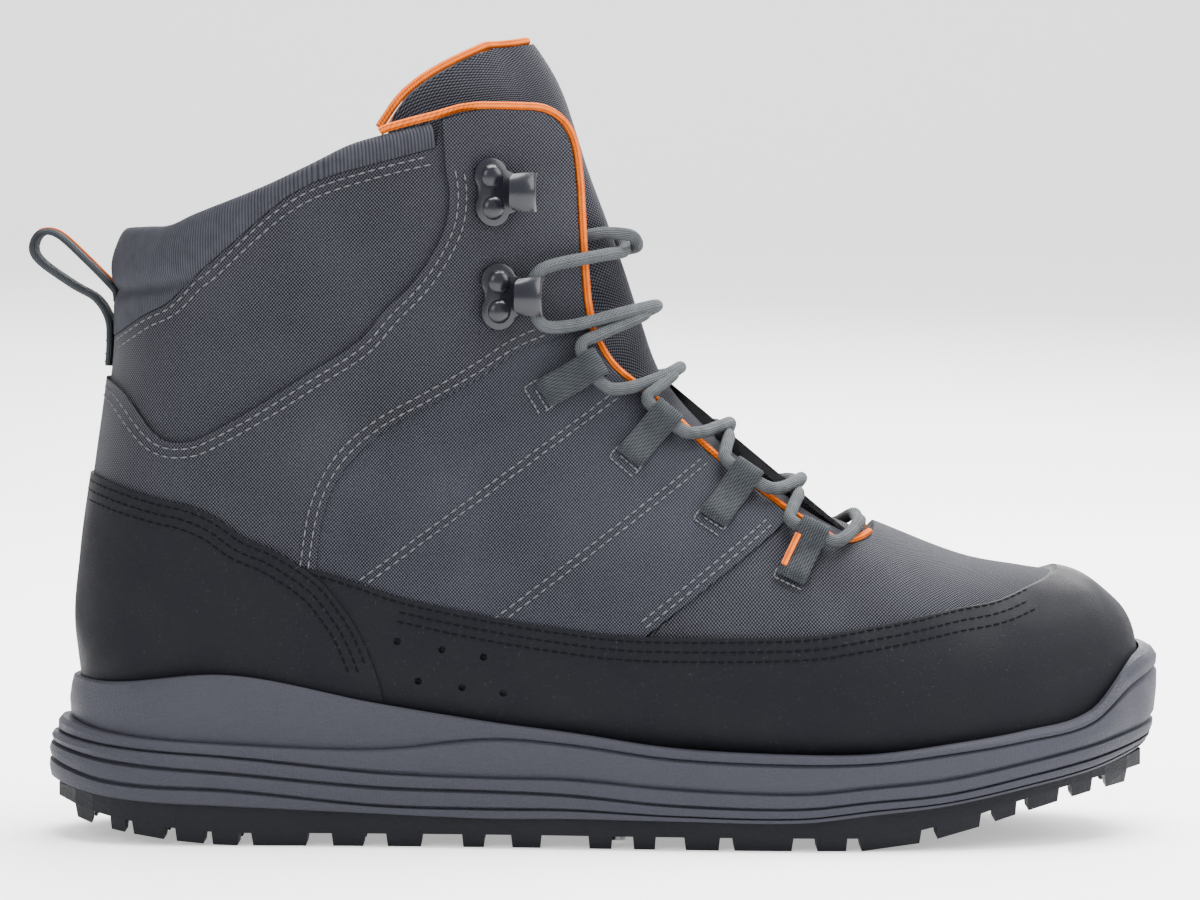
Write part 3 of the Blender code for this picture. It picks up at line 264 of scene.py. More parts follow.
# seams as they run over the outer side, in millimetres
seams = {
    "cuff": ((13, 131.5), (15.9, 131), (20, 129), (24, 126), (28.6, 120), (33, 115), (37, 113), (42, 113),
             (47, 114.6), (62, 123), (76, 132), (90, 141), (98, 150), (105, 157), (110.5, 164.5),
             (115, 174), (116, 183), (115, 189.5), (114, 204)),
    "ankle": ((77.5, 66), (78, 77), (79, 85), (80.6, 93.6), (84, 102), (90, 110), (99, 117), (110, 123),
              (124, 131), (135, 138), (145.5, 142), (152, 144)),
    "quarterRear": ((88, 70), (92, 74), (164, 127)),
    "quarterMiddle": ((128, 61.5), (132, 65), (189, 108)),
    "quarterFront": ((166, 55), (171.5, 60), (208, 88.5), (216, 96)),
    "collar": ((19.7, 142), (29.5, 148.5), (37, 152), (44, 159), (48, 162), (55.5, 169), (61, 174),
               (67, 179), (75, 184), (84, 187.6), (98, 191.6), (112, 195))}
seams = {name: [(x / 1000, z / 1000) for x, z in line] for name, line in seams.items()}
# creases: line in millimetres, half width and depth of the trough (a ridge is negative)
creases = (
    (((92, 74), (164, 127)), 2.2, 0.50), (((132, 65), (189, 108)), 2.2, 0.50),
    (((112, 100), (150, 128)), 7.0, -0.55), (((146, 92), (180, 117)), 7.0, -0.55),
    (((22, 155.6), (33, 155), (44, 158.4)), 2.6, 0.9), (((20, 147), (30, 151), (40, 156)), 3.5, -0.5),
    (((46, 118), (62, 127), (88, 144), (103, 160), (109, 172)), 2.6, 0.35),
    (((46, 128), (66, 142), (90, 160), (104, 178)), 9.0, -0.8),
    (((118, 142), (136, 147), (150, 149)), 3.0, 0.55), (((120, 132), (138, 141)), 4.0, -0.4),
    (((150, 120), (163, 112), (172, 100)), 4.5, 0.45), (((178, 96), (186, 84), (188, 72)), 5.0, 0.45),
    (((206, 80), (222, 72), (232, 64)), 5.0, 0.55), (((222, 84), (236, 76), (246, 66)), 6.0, -0.5),
    (((30, 104), (52, 102), (70, 92)), 4.0, 0.30), (((96, 104), (88, 92), (86, 80)), 4.0, 0.40))


def creaseAt(point):
    lift = 0.0
    for line, width, depth in creases:
        nearest = 1.0
        for (ax, az), (bx, bz) in zip(line, line[1:]):
            dx, dz = bx - ax, bz - az
            px, pz = point.x * 1000 - ax, point.z * 1000 - az
            t = min(max((px * dx + pz * dz) / (dx * dx + dz * dz), 0.0), 1.0)
            nearest = min(nearest, ((px - dx * t) ** 2 + (pz - dz * t) ** 2) / 1e6)
        lift -= depth / 1000 * math.exp(-nearest / (width / 1000) ** 2)
    return lift


# one fine net over the last, used by every panel
net = {"rows": 176, "turns": 184}
netPoints, netNormals = [], []
for i in range(net["rows"] + 1):
    u = topRow * i / net["rows"]
    row = [(lastPoint(u, j / net["turns"]), lastNormal(u, j / net["turns"])) for j in range(net["turns"])]
    netPoints.append([point + normal * creaseAt(point) for point, normal in row])
    netNormals.append([normal for _, normal in row])
print("net over the last made")

skin = BVHTree.FromPolygons(
    [point for row in netPoints for point in row],
    [(i * net["turns"] + j, i * net["turns"] + (j + 1) % net["turns"],
      (i + 1) * net["turns"] + (j + 1) % net["turns"], (i + 1) * net["turns"] + j)
     for i in range(net["rows"]) for j in range(net["turns"])])


def onSide(spot, inner, lift=0.0):
    # the surface under a side-view spot, and its normal
    start = Vector((spot[0], 0.3 if inner else -0.3, spot[1]))
    hit, normal, _, _ = skin.ray_cast(start, Vector((0, -1 if inner else 1, 0)))
    if hit is None:
        hit, normal, _, _ = skin.find_nearest(Vector((spot[0], 0.0, spot[1])))
    if normal.y * (1 if inner else -1) < 0:
        normal = -normal
    return hit + normal * lift, normal


boot = bpy.data.collections.new("dressed_boot")
bpy.context.scene.collection.children.link(boot)


def newPiece(name, bm, crease=38):
    mesh = bpy.data.meshes.new(name)
    bm.to_mesh(mesh)
    bm.free()
    mesh.shade_smooth()
    mesh.set_sharp_from_angle(angle=math.radians(crease))
    piece = bpy.data.objects.new(name, mesh)
    boot.objects.link(piece)
    return piece


def drawnOut(bm, points, way):
    # one flat face drawn out into a solid
    face = bm.faces.new([bm.verts.new(point) for point in points])
    drawn = bmesh.ops.extrude_face_region(bm, geom=[face])["geom"]
    bmesh.ops.translate(bm, verts=[g for g in drawn if isinstance(g, bmesh.types.BMVert)], vec=way)
    bmesh.ops.recalc_face_normals(bm, faces=bm.faces)


def runLengths(path):
    lengths = [0.0]
    for a, b in zip(path, path[1:]):
        lengths.append(lengths[-1] + (b - a).length)
    return lengths


def mapped(bm, columns, rows, place, closed=False, caps=False, span=(1.0, 1.0), turned=False):
    # a flat grid laid over a shape: place turns two shares into a point
    layer = bm.loops.layers.uv.get("UVMap") or bm.loops.layers.uv.new("UVMap")
    made = bmesh.ops.create_grid(bm, x_segments=columns, y_segments=rows, size=0.5, calc_uvs=True)
    verts = made["verts"]
    shares = {vert: (round((vert.co.x + 0.5) * columns) / columns, round((vert.co.y + 0.5) * rows) / rows)
              for vert in verts}
    for face in {face for vert in verts for face in vert.link_faces}:
        for loop in face.loops:
            s, t = shares[loop.vert]
            spot = (s * span[0], t * span[1])
            loop[layer].uv = spot[::-1] if turned else spot
    for vert, (s, t) in shares.items():
        vert.co = place(s, t)
    if closed:
        bmesh.ops.remove_doubles(bm, verts=verts, dist=1e-7)
    if caps:
        rim = [edge for edge in bm.edges if edge.is_boundary]
        bmesh.ops.holes_fill(bm, edges=rim, sides=0)
        bmesh.ops.recalc_face_normals(bm, faces=bm.faces)


def lastForm(name, offset):
    # the whole last, grown by an offset, as a closed solid with a rounded toe
    reach = lastSection(topRow)["rise"].normalized()
    stretch = Vector((-reach.z, 0.0, reach.x)) * (0.012 - 2 * offset)
    rings = [[p + n * offset for p, n in zip(a, b)] for a, b in zip(netPoints, netNormals)]
    middle = sum(rings[0], Vector()) / net["turns"]
    toe = [[middle + (p - middle) * share + Vector((ahead, 0, 0)) for p in rings[0]]
           for share, ahead in ((0.35, 0.0016), (0.78, 0.0011))]
    rings = toe + rings + [[p + stretch for p in rings[-1]]]
    bm = bmesh.new()
    mapped(bm, len(rings) - 1, net["turns"],
           lambda s, t: rings[round(s * (len(rings) - 1))][round(t * net["turns"]) % net["turns"]],
           closed=True, caps=True)
    return newPiece(name, bm)


def prism(name, outline):
    # a side-view outline drawn out across the boot
    bm = bmesh.new()
    drawnOut(bm, [(x, -size["soleWidth"], z) for x, z in outline], (0, 2 * size["soleWidth"], 0))
    return newPiece(name, bm)


cutters = []


def shaped(piece, *cuts, solver="MANIFOLD"):
    # cuts one after the other, then keeps the result as the piece's own mesh
    for operation, cutter in cuts:
        change = piece.modifiers.new(operation.title(), "BOOLEAN")
        change.operation = operation
        change.solver = solver
        change.object = cutter
        if cutter not in cutters:
            cutters.append(cutter)
    bpy.context.view_layer.update()
    graph = bpy.context.evaluated_depsgraph_get()
    mesh = bpy.data.meshes.new_from_object(piece.evaluated_get(graph))
    piece.modifiers.clear()
    piece.data = mesh
    mesh.shade_smooth()
    mesh.set_sharp_from_angle(angle=math.radians(38))
    return piece


def layCloth(piece, way):
    # UVs in metres: round the heel and up for the sides, or along the foot and over it
    mesh = piece.data
    layer = mesh.uv_layers.get("UVMap") or mesh.uv_layers.new(name="UVMap")
    spots = []
    for vert in mesh.vertices:
        x, y, z = vert.co
        if way == "side":
            heel, radius = 0.045, 0.034
            u = x if x > heel else heel - radius * math.atan2(heel - x, max(abs(y), 1e-4))
            spots.append((u if y < 0 else u + 0.4, z))
        else:
            spots.append((x, 0.048 * math.atan2(y, max(z - 0.035, 1e-4))))
    for loop in mesh.loops:
        layer.data[loop.index].uv = spots[loop.vertex_index]


def dress(piece, finish, slot, *nodes, way=None):
    # finish, place in the frame, hang on the root body and hide the solids that the piece stands for
    if way:
        layCloth(piece, way)
    piece.data.transform(Matrix.Translation(moved))
    if finish:
        piece.data.materials.clear()
        piece.data.materials.append(finish)
    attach(piece, "root")
    if nodes:
        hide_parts(*nodes)
    return piece


def node(tree, kind, links=(), **values):
    # a node with its settings, values and incoming links
    made = tree.nodes.new("ShaderNode" + kind)
    for key, value in values.items():
        setattr(made, key, value)
    for key, value in dict(links).items():
        if isinstance(value, bpy.types.NodeSocket):
            tree.links.new(value, made.inputs[key])
        else:
            made.inputs[key].default_value = value
    return made


def maths(tree, operation, a, b=0.0, c=0.0):
    return node(tree, "Math", {0: a, 1: b, 2: c}, operation=operation).outputs[0]


def newGroup(name, inputs, outputs):
    group = bpy.data.node_groups.new(name, "ShaderNodeTree")
    for label, kind in inputs:
        group.interface.new_socket(label, in_out="INPUT", socket_type="NodeSocket" + kind)
    for label, kind in outputs:
        group.interface.new_socket(label, in_out="OUTPUT", socket_type="NodeSocket" + kind)
    return group, group.nodes.new("NodeGroupInput").outputs, group.nodes.new("NodeGroupOutput").inputs


def wovenCloth():
    # crossing threads: raised and sunk by turns; the colour mask taken from this height is painted light, a
    # painted highlight on the raised threads and painted shade in the gaps between them
    group, given, out = newGroup(
        "woven_cloth", (("Vector", "Vector"), ("Across", "Float"), ("Along", "Float"), ("Stray", "Float")),
        (("Height", "Float"), ("ThreadPaintedLight", "Float"), ("Fibre", "Float")))
    wander = node(group, "TexNoise", {"Vector": given["Vector"], "Scale": 900.0, "Detail": 2.0})
    middle = node(group, "VectorMath", {0: wander.outputs["Color"], 1: (0.5, 0.5, 0.5)}, operation="SUBTRACT")
    drift = node(group, "VectorMath", {0: middle.outputs[0], "Scale": given["Stray"]}, operation="SCALE")
    spot = node(group, "VectorMath", {0: given["Vector"], 1: drift.outputs[0]}, operation="ADD")
    parts = node(group, "SeparateXYZ", {0: spot.outputs[0]})
    across = maths(group, "SINE", maths(group, "MULTIPLY", parts.outputs[0], given["Across"]))
    along = maths(group, "SINE", maths(group, "MULTIPLY", parts.outputs[1], given["Along"]))
    cross = maths(group, "MULTIPLY", across, along)
    height = maths(group, "MULTIPLY_ADD", cross, 0.5, 0.5)
    thread = node(group, "MapRange", {0: height, 1: 0.34, 2: 0.80, 3: 0.0, 4: 1.0},
                  interpolation_type="SMOOTHSTEP")
    fibre = node(group, "TexNoise", {"Vector": given["Vector"], "Scale": 2600.0, "Detail": 2.0})
    group.links.new(height, out["Height"])
    group.links.new(thread.outputs[0], out["ThreadPaintedLight"])
    group.links.new(fibre.outputs["Fac"], out["Fibre"])
    return group


def ribbing():
    # ribs that follow one way of the piece's own net, with stitches along them
    group, given, out = newGroup(
        "ribbing", (("Vector", "Vector"), ("Ribs", "Float"), ("Stitches", "Float")),
        (("Height", "Float"),))
    parts = node(group, "SeparateXYZ", {0: given["Vector"]})
    wave = maths(group, "SINE", maths(group, "MULTIPLY", parts.outputs[1], given["Ribs"]))
    rib = maths(group, "ABSOLUTE", wave)
    slant = maths(group, "ADD", maths(group, "MULTIPLY", parts.outputs[0], given["Stitches"]),
                  maths(group, "MULTIPLY", parts.outputs[1], given["Ribs"]))
    stitch = maths(group, "MULTIPLY", maths(group, "SINE", slant), 0.22)
    group.links.new(maths(group, "ADD", rib, stitch), out["Height"])
    return group


def hideGrain():
    # pebbled grain with pores and pale specks
    group, given, out = newGroup(
        "hide_grain", (("Vector", "Vector"), ("Cell", "Float"), ("Specks", "Float")),
        (("Height", "Float"), ("Speck", "Float"), ("Patch", "Float")))
    cells = node(group, "TexVoronoi", {"Vector": given["Vector"], "Scale": given["Cell"]},
                 feature="DISTANCE_TO_EDGE")
    pebble = node(group, "MapRange", {0: cells.outputs["Distance"], 1: 0.0, 2: 0.16, 3: 0.0, 4: 1.0})
    fine = node(group, "TexNoise", {"Vector": given["Vector"], "Scale": 2400.0, "Detail": 3.0})
    specks = node(group, "TexNoise", {"Vector": given["Vector"], "Scale": given["Specks"], "Detail": 1.0})
    speck = node(group, "MapRange", {0: specks.outputs["Fac"], 1: 0.69, 2: 0.76, 3: 0.0, 4: 1.0})
    patch = node(group, "TexNoise", {"Vector": given["Vector"], "Scale": 55.0, "Detail": 4.0})
    group.links.new(maths(group, "MULTIPLY_ADD", fine.outputs["Fac"], 0.6, pebble.outputs[0]), out["Height"])
    group.links.new(speck.outputs[0], out["Speck"])
    group.links.new(patch.outputs["Fac"], out["Patch"])
    return group


clothGroup, ribGroup, grainGroup = wovenCloth(), ribbing(), hideGrain()
turn = 2 * math.pi


def mixed(tree, share, a, b):
    mix = node(tree, "Mix", data_type="RGBA")
    for key, value in ((0, share), (6, a), (7, b)):
        if isinstance(value, bpy.types.NodeSocket):
            tree.links.new(value, mix.inputs[key])
        else:
            mix.inputs[key].default_value = (*value, 1.0) if key else value
    return mix.outputs[2]


def newFinish(name, roughness, **shader):
    finish = bpy.data.materials.new(name)
    finish.use_nodes = True
    tree = finish.node_tree
    surface = tree.nodes["Principled BSDF"]
    surface.inputs["Roughness"].default_value = roughness
    for label, value in shader.items():
        surface.inputs[label.replace("_", " ")].default_value = value
    return finish, tree, surface


def raised(tree, surface, height, strength, distance):
    bump = node(tree, "Bump", {"Height": height, "Strength": strength, "Distance": distance})
    tree.links.new(bump.outputs[0], surface.inputs["Normal"])


def cloth(name, dark, light, across, along, strength, stray=0.00012):
    finish, tree, surface = newFinish(name, 0.85, Sheen_Weight=0.10, Sheen_Roughness=0.3,
                                      Specular_IOR_Level=0.08)
    spot = node(tree, "UVMap", uv_map="UVMap").outputs[0]
    weave = node(tree, "Group", node_tree=clothGroup)
    tree.links.new(spot, weave.inputs["Vector"])
    for label, value in (("Across", turn / across), ("Along", turn / along), ("Stray", stray)):
        weave.inputs[label].default_value = value
    place = node(tree, "TexCoord").outputs["Object"]
    patch = node(tree, "TexNoise", {"Vector": place, "Scale": 38.0, "Detail": 3.0}).outputs["Fac"]
    worn = maths(tree, "MULTIPLY_ADD", patch, 0.40,
                 maths(tree, "MULTIPLY_ADD", weave.outputs["Fibre"], 0.45, -0.36))
    # base colour: painted shade in the weave gaps and a painted highlight on the raised threads, with random
    # tone patches and fibre on top
    share = maths(tree, "MULTIPLY_ADD", weave.outputs["ThreadPaintedLight"], 1.0, worn)
    tree.links.new(mixed(tree, share, dark, light), surface.inputs["Base Color"])
    raised(tree, surface, weave.outputs["Height"], strength, 0.0004)
    return finish


def ribbed(name, dark, light, ribs, stitches, strength, roughness=0.85, distance=0.0004):
    finish, tree, surface = newFinish(name, roughness, Specular_IOR_Level=0.1)
    spot = node(tree, "UVMap", uv_map="UVMap").outputs[0]
    rib = node(tree, "Group", node_tree=ribGroup)
    tree.links.new(spot, rib.inputs["Vector"])
    rib.inputs["Ribs"].default_value = math.pi / ribs
    rib.inputs["Stitches"].default_value = turn / stitches
    place = node(tree, "TexCoord").outputs["Object"]
    patch = node(tree, "TexNoise", {"Vector": place, "Scale": 320.0, "Detail": 3.0}).outputs["Fac"]
    # base colour follows the rib height: painted shade in the furrows and a painted highlight on the ribs,
    # mixed with random tone patches
    share = maths(tree, "MULTIPLY_ADD", rib.outputs["Height"], 0.75,
                  maths(tree, "MULTIPLY_ADD", patch, 0.6, -0.25))
    tree.links.new(mixed(tree, share, dark, light), surface.inputs["Base Color"])
    raised(tree, surface, rib.outputs["Height"], strength, distance)
    return finish


def moulded(name, dark, light, cell, strength, roughness, speckTone=None, specks=700.0, spread=0.25,
            **shader):
    finish, tree, surface = newFinish(name, roughness, **shader)
    place = node(tree, "TexCoord").outputs["Object"]
    grain = node(tree, "Group", node_tree=grainGroup)
    tree.links.new(place, grain.inputs["Vector"])
    grain.inputs["Cell"].default_value = cell
    grain.inputs["Specks"].default_value = specks
    tone = mixed(tree, grain.outputs["Patch"], dark, light)
    if speckTone:
        tone = mixed(tree, maths(tree, "MULTIPLY", grain.outputs["Speck"], 0.55), tone, speckTone)
    tree.links.new(tone, surface.inputs["Base Color"])
    uneven = node(tree, "MapRange", {0: grain.outputs["Patch"], 1: 0.3, 2: 0.7, 3: roughness - spread / 2,
                                     4: roughness + spread / 2})
    tree.links.new(uneven.outputs[0], surface.inputs["Roughness"])
    raised(tree, surface, grain.outputs["Height"], strength, 0.0003)
    return finish


tones = {  # darkest and lightest
    # for the woven and ribbed finishes the darkest tone is painted shade in the gaps and furrows and the
    # lightest a painted highlight on raised threads and ribs
    "cloth": ((0.0018, 0.0018, 0.0028), (0.053, 0.054, 0.066)),
    "fine": ((0.0022, 0.0024, 0.0038), (0.055, 0.057, 0.071)),
    "leather": ((0.0030, 0.0031, 0.0046), (0.0066, 0.0067, 0.0092)),
    "foam": ((0.0225, 0.0228, 0.0305), (0.0335, 0.034, 0.044)),
    "rubber": ((0.0035, 0.0038, 0.0052), (0.0080, 0.0084, 0.0110)),
    "knit": ((0.012, 0.0121, 0.0160), (0.050, 0.051, 0.063)),
    "webbing": ((0.010, 0.0112, 0.0130), (0.048, 0.053, 0.059)),
    "lace": ((0.017, 0.0185, 0.0200), (0.098, 0.106, 0.112)),
    "orange": ((0.24, 0.035, 0.002), (0.72, 0.150, 0.008)),
    "thread": ((0.075, 0.077, 0.082), (0.22, 0.225, 0.24)),
    "darkThread": ((0.0012, 0.0012, 0.0018), (0.0045, 0.0045, 0.006)),
    "felt": ((0.022, 0.0225, 0.025), (0.043, 0.044, 0.049)),
    "enamel": ((0.006, 0.006, 0.009), (0.011, 0.0115, 0.016)),
    "steel": ((0.40, 0.40, 0.41), (0.62, 0.62, 0.64))}
coarseCloth = cloth("coarse_ballistic_weave", *tones["cloth"], 0.00096, 0.00104, 0.8)
fineCloth = cloth("fine_ribbed_weave", *tones["fine"], 0.00092, 0.00100, 0.8)
liningFelt = moulded("lining_felt", *tones["felt"], 1400.0, 0.5, 0.95, Specular_IOR_Level=0.2)
blackLeather = moulded("black_nubuck", *tones["leather"], 1500.0, 0.25, 0.66, (0.035, 0.036, 0.042), 1700.0,
                       Specular_IOR_Level=0.10)
greyFoam = moulded("moulded_grey_foam", *tones["foam"], 900.0, 0.40, 0.62, Specular_IOR_Level=0.15)
blackRubber = moulded("black_tread_rubber", *tones["rubber"], 600.0, 0.2, 0.55, Specular_IOR_Level=0.12)
collarKnit = ribbed("fine_ribbed_knit", *tones["knit"], 0.00085, 0.0013, 0.8)
greyWebbing = ribbed("ribbed_webbing", *tones["webbing"], 0.00072, 0.0011, 0.8)
greyLace = ribbed("braided_lace", *tones["lace"], 0.00053, 0.00085, 0.7)
orangeCord = ribbed("orange_cord", *tones["orange"], 0.0012, 0.0006, 0.5)
greyThread = ribbed("grey_thread", *tones["thread"], 0.0004, 0.0008, 0.4)
blackThread = moulded("black_thread", *tones["darkThread"], 2200.0, 0.4, 0.6, Specular_IOR_Level=0.05)
blackMetal = moulded("black_enamel", *tones["enamel"], 2600.0, 0.05, 0.26, spread=0.08, Metallic=0.1,
                     Coat_Weight=0.2, Coat_Roughness=0.14, Specular_IOR_Level=0.25)
steelStud = moulded("worn_steel", *tones["steel"], 1800.0, 0.1, 0.3, Metallic=1.0)
print("finishes made")


def mirrorSides(build):
    for inner, where in ((False, "outer"), (True, "inner")):
        build(inner, where)


# the lace, its loops and hooks
loopSize = {"seat": 0.0012, "eye": 0.0028, "width": 0.0087, "web": 0.0011}
hookSize = {"reach": 0.0145, "seat": 0.0026, "rise": 0.0082, "width": 0.0076, "grip": 0.66,
            "plate": 0.0010, "lobe": 0.0049, "neck": 0.0041, "nose": 0.0092, "sheet": 0.0009,
            "crown": 0.0017, "bite": 0.0013, "flare": 0.0020,
            "curl": ((0.30, 0.06, 0.95), (0.52, 0.07, 1.1), (0.72, 0.14, 1.28), (0.815, 0.38, 1.38),
                     (0.80, 0.64, 1.40), (0.68, 0.80, 1.40), (0.44, 0.84, 1.36), (0.14, 0.74, 1.24))}
rivetProfile = ((0.0047, 0.0), (0.0046, 0.0005), (0.0042, 0.0006), (0.0038, 0.0003), (0.0035, 0.0003),
                (0.0034, 0.0007), (0.0030, 0.0014), (0.0023, 0.0019), (0.0012, 0.0022), (0.0, 0.0023))
laceSize = {"over": 0.0022, "under": -0.0016, "bar": 1.56, "run": 0.0060, "flap": 0.0036,
            "bend": 2.0, "steps": 6}
tongueSize = {"gap": 0.0012, "lean": 0.0050, "wing": 0.085, "curl": 0.0035, "thick": 0.0055,
              "from": 6.1, "top": 17.6, "widths": (0.055, 0.120, 0.160, 0.213)}


def locate(spot, inner=False):
    def miss(u, v):
        point = lastPoint(u, v)
        return point.x - spot[0], point.z - spot[1]

    starts = [(topRow * i / 36, 0.02 + 0.46 * j / 16) for i in range(37) for j in range(17)]
    u, v = min(starts, key=lambda s: sum(d * d for d in miss(*s)))
    for _ in range(12):
        dx, dz = miss(u, v)
        ux, uz = miss(u + nudge, v)
        vx, vz = miss(u, v + nudge)
        a, b, c, d = (ux - dx) / nudge, (vx - dx) / nudge, (uz - dz) / nudge, (vz - dz) / nudge
        scale = a * d - b * c
        if abs(scale) < 1e-12:
            break
        u = min(max(u - (d * dx - b * dz) / scale, 0.0), topRow)
        v = min(max(v - (a * dz - c * dx) / scale, 0.002), 0.498)
    return u, (1 - v if inner else v)


def onLast(spot, inner, offset):
    return lastAt(*locate(spot, inner), offset)


def tongueDrop(u, v):
    wing = min(abs(v) / tongueSize["wing"], 1.0)
    lean = tongueSize["lean"] * wing * wing * (3 - 2 * wing) * min(max((u - 8.5) / 3, 0.0), 1.0)
    curl = tongueSize["curl"] * max((u - 15.5) / 2, 0.0) ** 2
    return size["wall"] + tongueSize["gap"] + lean + curl


def tongueTop(spin):
    # the top edge rises beside the tip and falls at the corners
    return tongueSize["top"] + 0.22 * min(abs(spin) / 0.4, 1.0) ** 2 - 0.55 * spin ** 10


def loopFrame(place, inner):
    foot, tip = onLast(side(place[0]), inner, 0.0), onLast(side(place[1]), inner, 0.0)
    up = lastNormal(*locate(side(place[1]), inner))
    forward = (tip - foot).normalized()
    across = up.cross(forward).normalized()
    return foot, tip, forward, across, forward.cross(across).normalized()


def loopEye(place, inner):
    _, tip, _, across, up = loopFrame(place, inner)
    rise = loopSize["seat"] + loopSize["web"] / 2 + loopSize["eye"]
    return tip + up * rise, (across if across.z > 0 else -across)


def hookFrame(place, inner):
    high, low, tip = (side(spot) for spot in place)
    middle = ((high[0] + low[0]) / 2, (high[1] + low[1]) / 2)
    base = onLast(middle, inner, 0.0)
    up = lastNormal(*locate(middle, inner))
    forward = (onLast(tip, inner, 0.0) - base).normalized()
    across = up.cross(forward).normalized()
    return base, forward, across, forward.cross(across).normalized()


def hookMouth(place, inner, share):
    base, forward, across, up = hookFrame(place, inner)
    way = across if across.z > 0 else -across
    reach = hookSize["reach"] * (hookSize["grip"] + (1 - hookSize["grip"]) * 0.4 * abs(share))
    rise = hookSize["seat"] + hookSize["rise"] * 0.5
    return base + forward * reach + way * share * hookSize["width"] + up * rise


def laceNode(point, inner):
    u, v = locate((point.x, point.z), inner)
    for _ in range(4):
        normal = lastNormal(u, v)
        foot = point - normal * (point - lastPoint(u, v)).dot(normal)
        u, v = locate((foot.x, foot.z), inner)
    return u, v - 1 if inner else v


def rowAtHeight(spin, mark):
    low, high = 0.0, topRow
    while high - low > nudge:
        middle = (low + high) / 2
        below = lastPoint(middle, spin).z < side((0.0, mark))[1]
        low, high = (middle, high) if below else (low, middle)
    return low


def laceBridge(runs, lift, summit, landing):
    nodes = [laceNode(point, inner) for point, inner in runs]
    lifts = [(runs[k][0] - lastPoint(*nodes[k])).length for k in (1, 2)]
    shoulder = size["lace"] / 2 + 2 * size["fit"]
    heights = (lifts[0], max(lift, shoulder), lift, max(landing, shoulder), lifts[1])
    crossing = rowAtHeight(0.0, summit)
    middle = (nodes[1][0] + nodes[2][0]) / 2
    points = []
    for k in range(1, laceSize["steps"]):
        t = k / laceSize["steps"]
        shares = (2 * t**3 - 3 * t**2 + 1, 3 * t**2 - 2 * t**3)
        bends = ((t**3 - 2 * t**2 + t) * laceSize["bend"], (t**3 - t**2) * laceSize["bend"])
        spot = []
        for axis in (0, 1):
            a, b, c, d = [knot[axis] for knot in nodes]
            spot.append(shares[0] * b + bends[0] * (b - a) + shares[1] * c + bends[1] * (d - c))
        spot[0] += (crossing - middle) * (4 * t * (1 - t)) ** 2
        points.append(lastAt(*spot, hermite(bridgeMarks, heights, t)))
    return points


def laceBed(u, v):
    return size["lace"] / 2 + 2 * size["fit"] - tongueDrop(u, v)


def laceSide(inner):
    runs = []
    for place in reversed(laceLoops):
        middle, way = loopEye(place, inner)
        runs.append([(middle - way * laceSize["run"], inner), (middle + way * laceSize["run"], inner)])
        inner = not inner
    runs.append([(hookMouth(hookSpots[1], inner, share), inner) for share in (-1.0, 0.0, 1.0)])
    path = [point for point, _ in runs[0]]
    for run, following, summit in zip(runs, runs[1:], laceSummits):
        lift = laceSize["over"] if run[0][1] else laceSize["under"]
        landing = max(laceSize["flap"], lift) if following is runs[-1] else lift
        path += laceBridge(run[-2:] + following[:2], lift, summit, landing)
        path += [point for point, _ in following]
    lift = laceSize["over"] if inner else laceSize["under"]
    spin = laceNode(path[-1], inner)[1]
    ends = [locate(side(spot), not inner) for spot in laceTuck]
    ends = [(u, v if inner else v - 1) for u, v in ends]
    sinking = (lift + laceBed(*ends[0])) / 2
    for (share, mark), height in zip(tuckNodes, (laceSize["flap"], lift, lift, lift, sinking)):
        path.append(lastAt(rowAtHeight(spin * share, mark), spin * share, height))
    return path + [lastAt(u, v, laceBed(u, v)) for u, v in ends]


def lacePath():
    first, second = laceSide(False), laceSide(True)
    ends = [(first[1], False), (first[0], False), (second[0], True), (second[1], True)]
    return first[::-1] + laceBridge(ends, laceSize["under"], laceSize["bar"], laceSize["under"]) + second


def tubeAlong(bm, path, radius, segments=14):
    # a round cord on a smooth line, its net turned with the line
    length = runLengths(path)[-1]
    spokes, spoke = [], None
    for k in range(len(path)):
        along = (path[min(k + 1, len(path) - 1)] - path[max(k - 1, 0)]).normalized()
        if spoke is None:
            spoke = along.orthogonal()
        spoke = (spoke - along * spoke.dot(along)).normalized()
        spokes.append((spoke, along.cross(spoke)))

    def place(s, t):
        k = round(s * (len(path) - 1))
        a, b = spokes[k]
        return path[k] + (a * math.cos(turn * t) + b * math.sin(turn * t)) * radius
    mapped(bm, len(path) - 1, segments, place, closed=True, caps=True, span=(length, turn * radius))
    return length


bm = bmesh.new()
laceLine = smoothLine(lacePath(), 7)
laceLength = tubeAlong(bm, laceLine, size["lace"] / 2 * 1.07, 16)
dress(newPiece("braided_lace", bm, crease=80), greyLace, "grey_lace", "lace")
print("lace", round(laceLength, 4))


def ribbon(name, path, across, width, web, finish, slot, *nodes):
    # flat webbing with rounded edges
    path = smoothLine(path, 5)
    corner = web * 0.42
    outline = []
    for sx, sy, start in ((1, 1, 0), (-1, 1, 90), (-1, -1, 180), (1, -1, 270)):
        for k in range(2):
            angle = math.radians(start + 90 * k)
            outline.append((sx * (width / 2 - corner) + corner * math.cos(angle),
                            sy * (web / 2 - corner) + corner * math.sin(angle)))
    filled = []
    for k, (a, b) in enumerate(zip(outline, outline[1:] + outline[:1])):
        steps = max(1, round(math.dist(a, b) / 0.0006))
        filled += [(a[0] + (b[0] - a[0]) * s / steps, a[1] + (b[1] - a[1]) * s / steps) for s in range(steps)]

    def place(s, t):
        k = round(s * (len(path) - 1))
        along = (path[min(k + 1, len(path) - 1)] - path[max(k - 1, 0)]).normalized()
        x, y = filled[round(t * len(filled)) % len(filled)]
        return path[k] + across * x + across.cross(along).normalized() * y
    bm = bmesh.new()
    mapped(bm, len(path) - 1, len(filled), place, closed=True, caps=True,
           span=(runLengths(path)[-1], 2 * (width + web)))
    return dress(newPiece(name, bm, crease=50), finish, slot, *nodes)


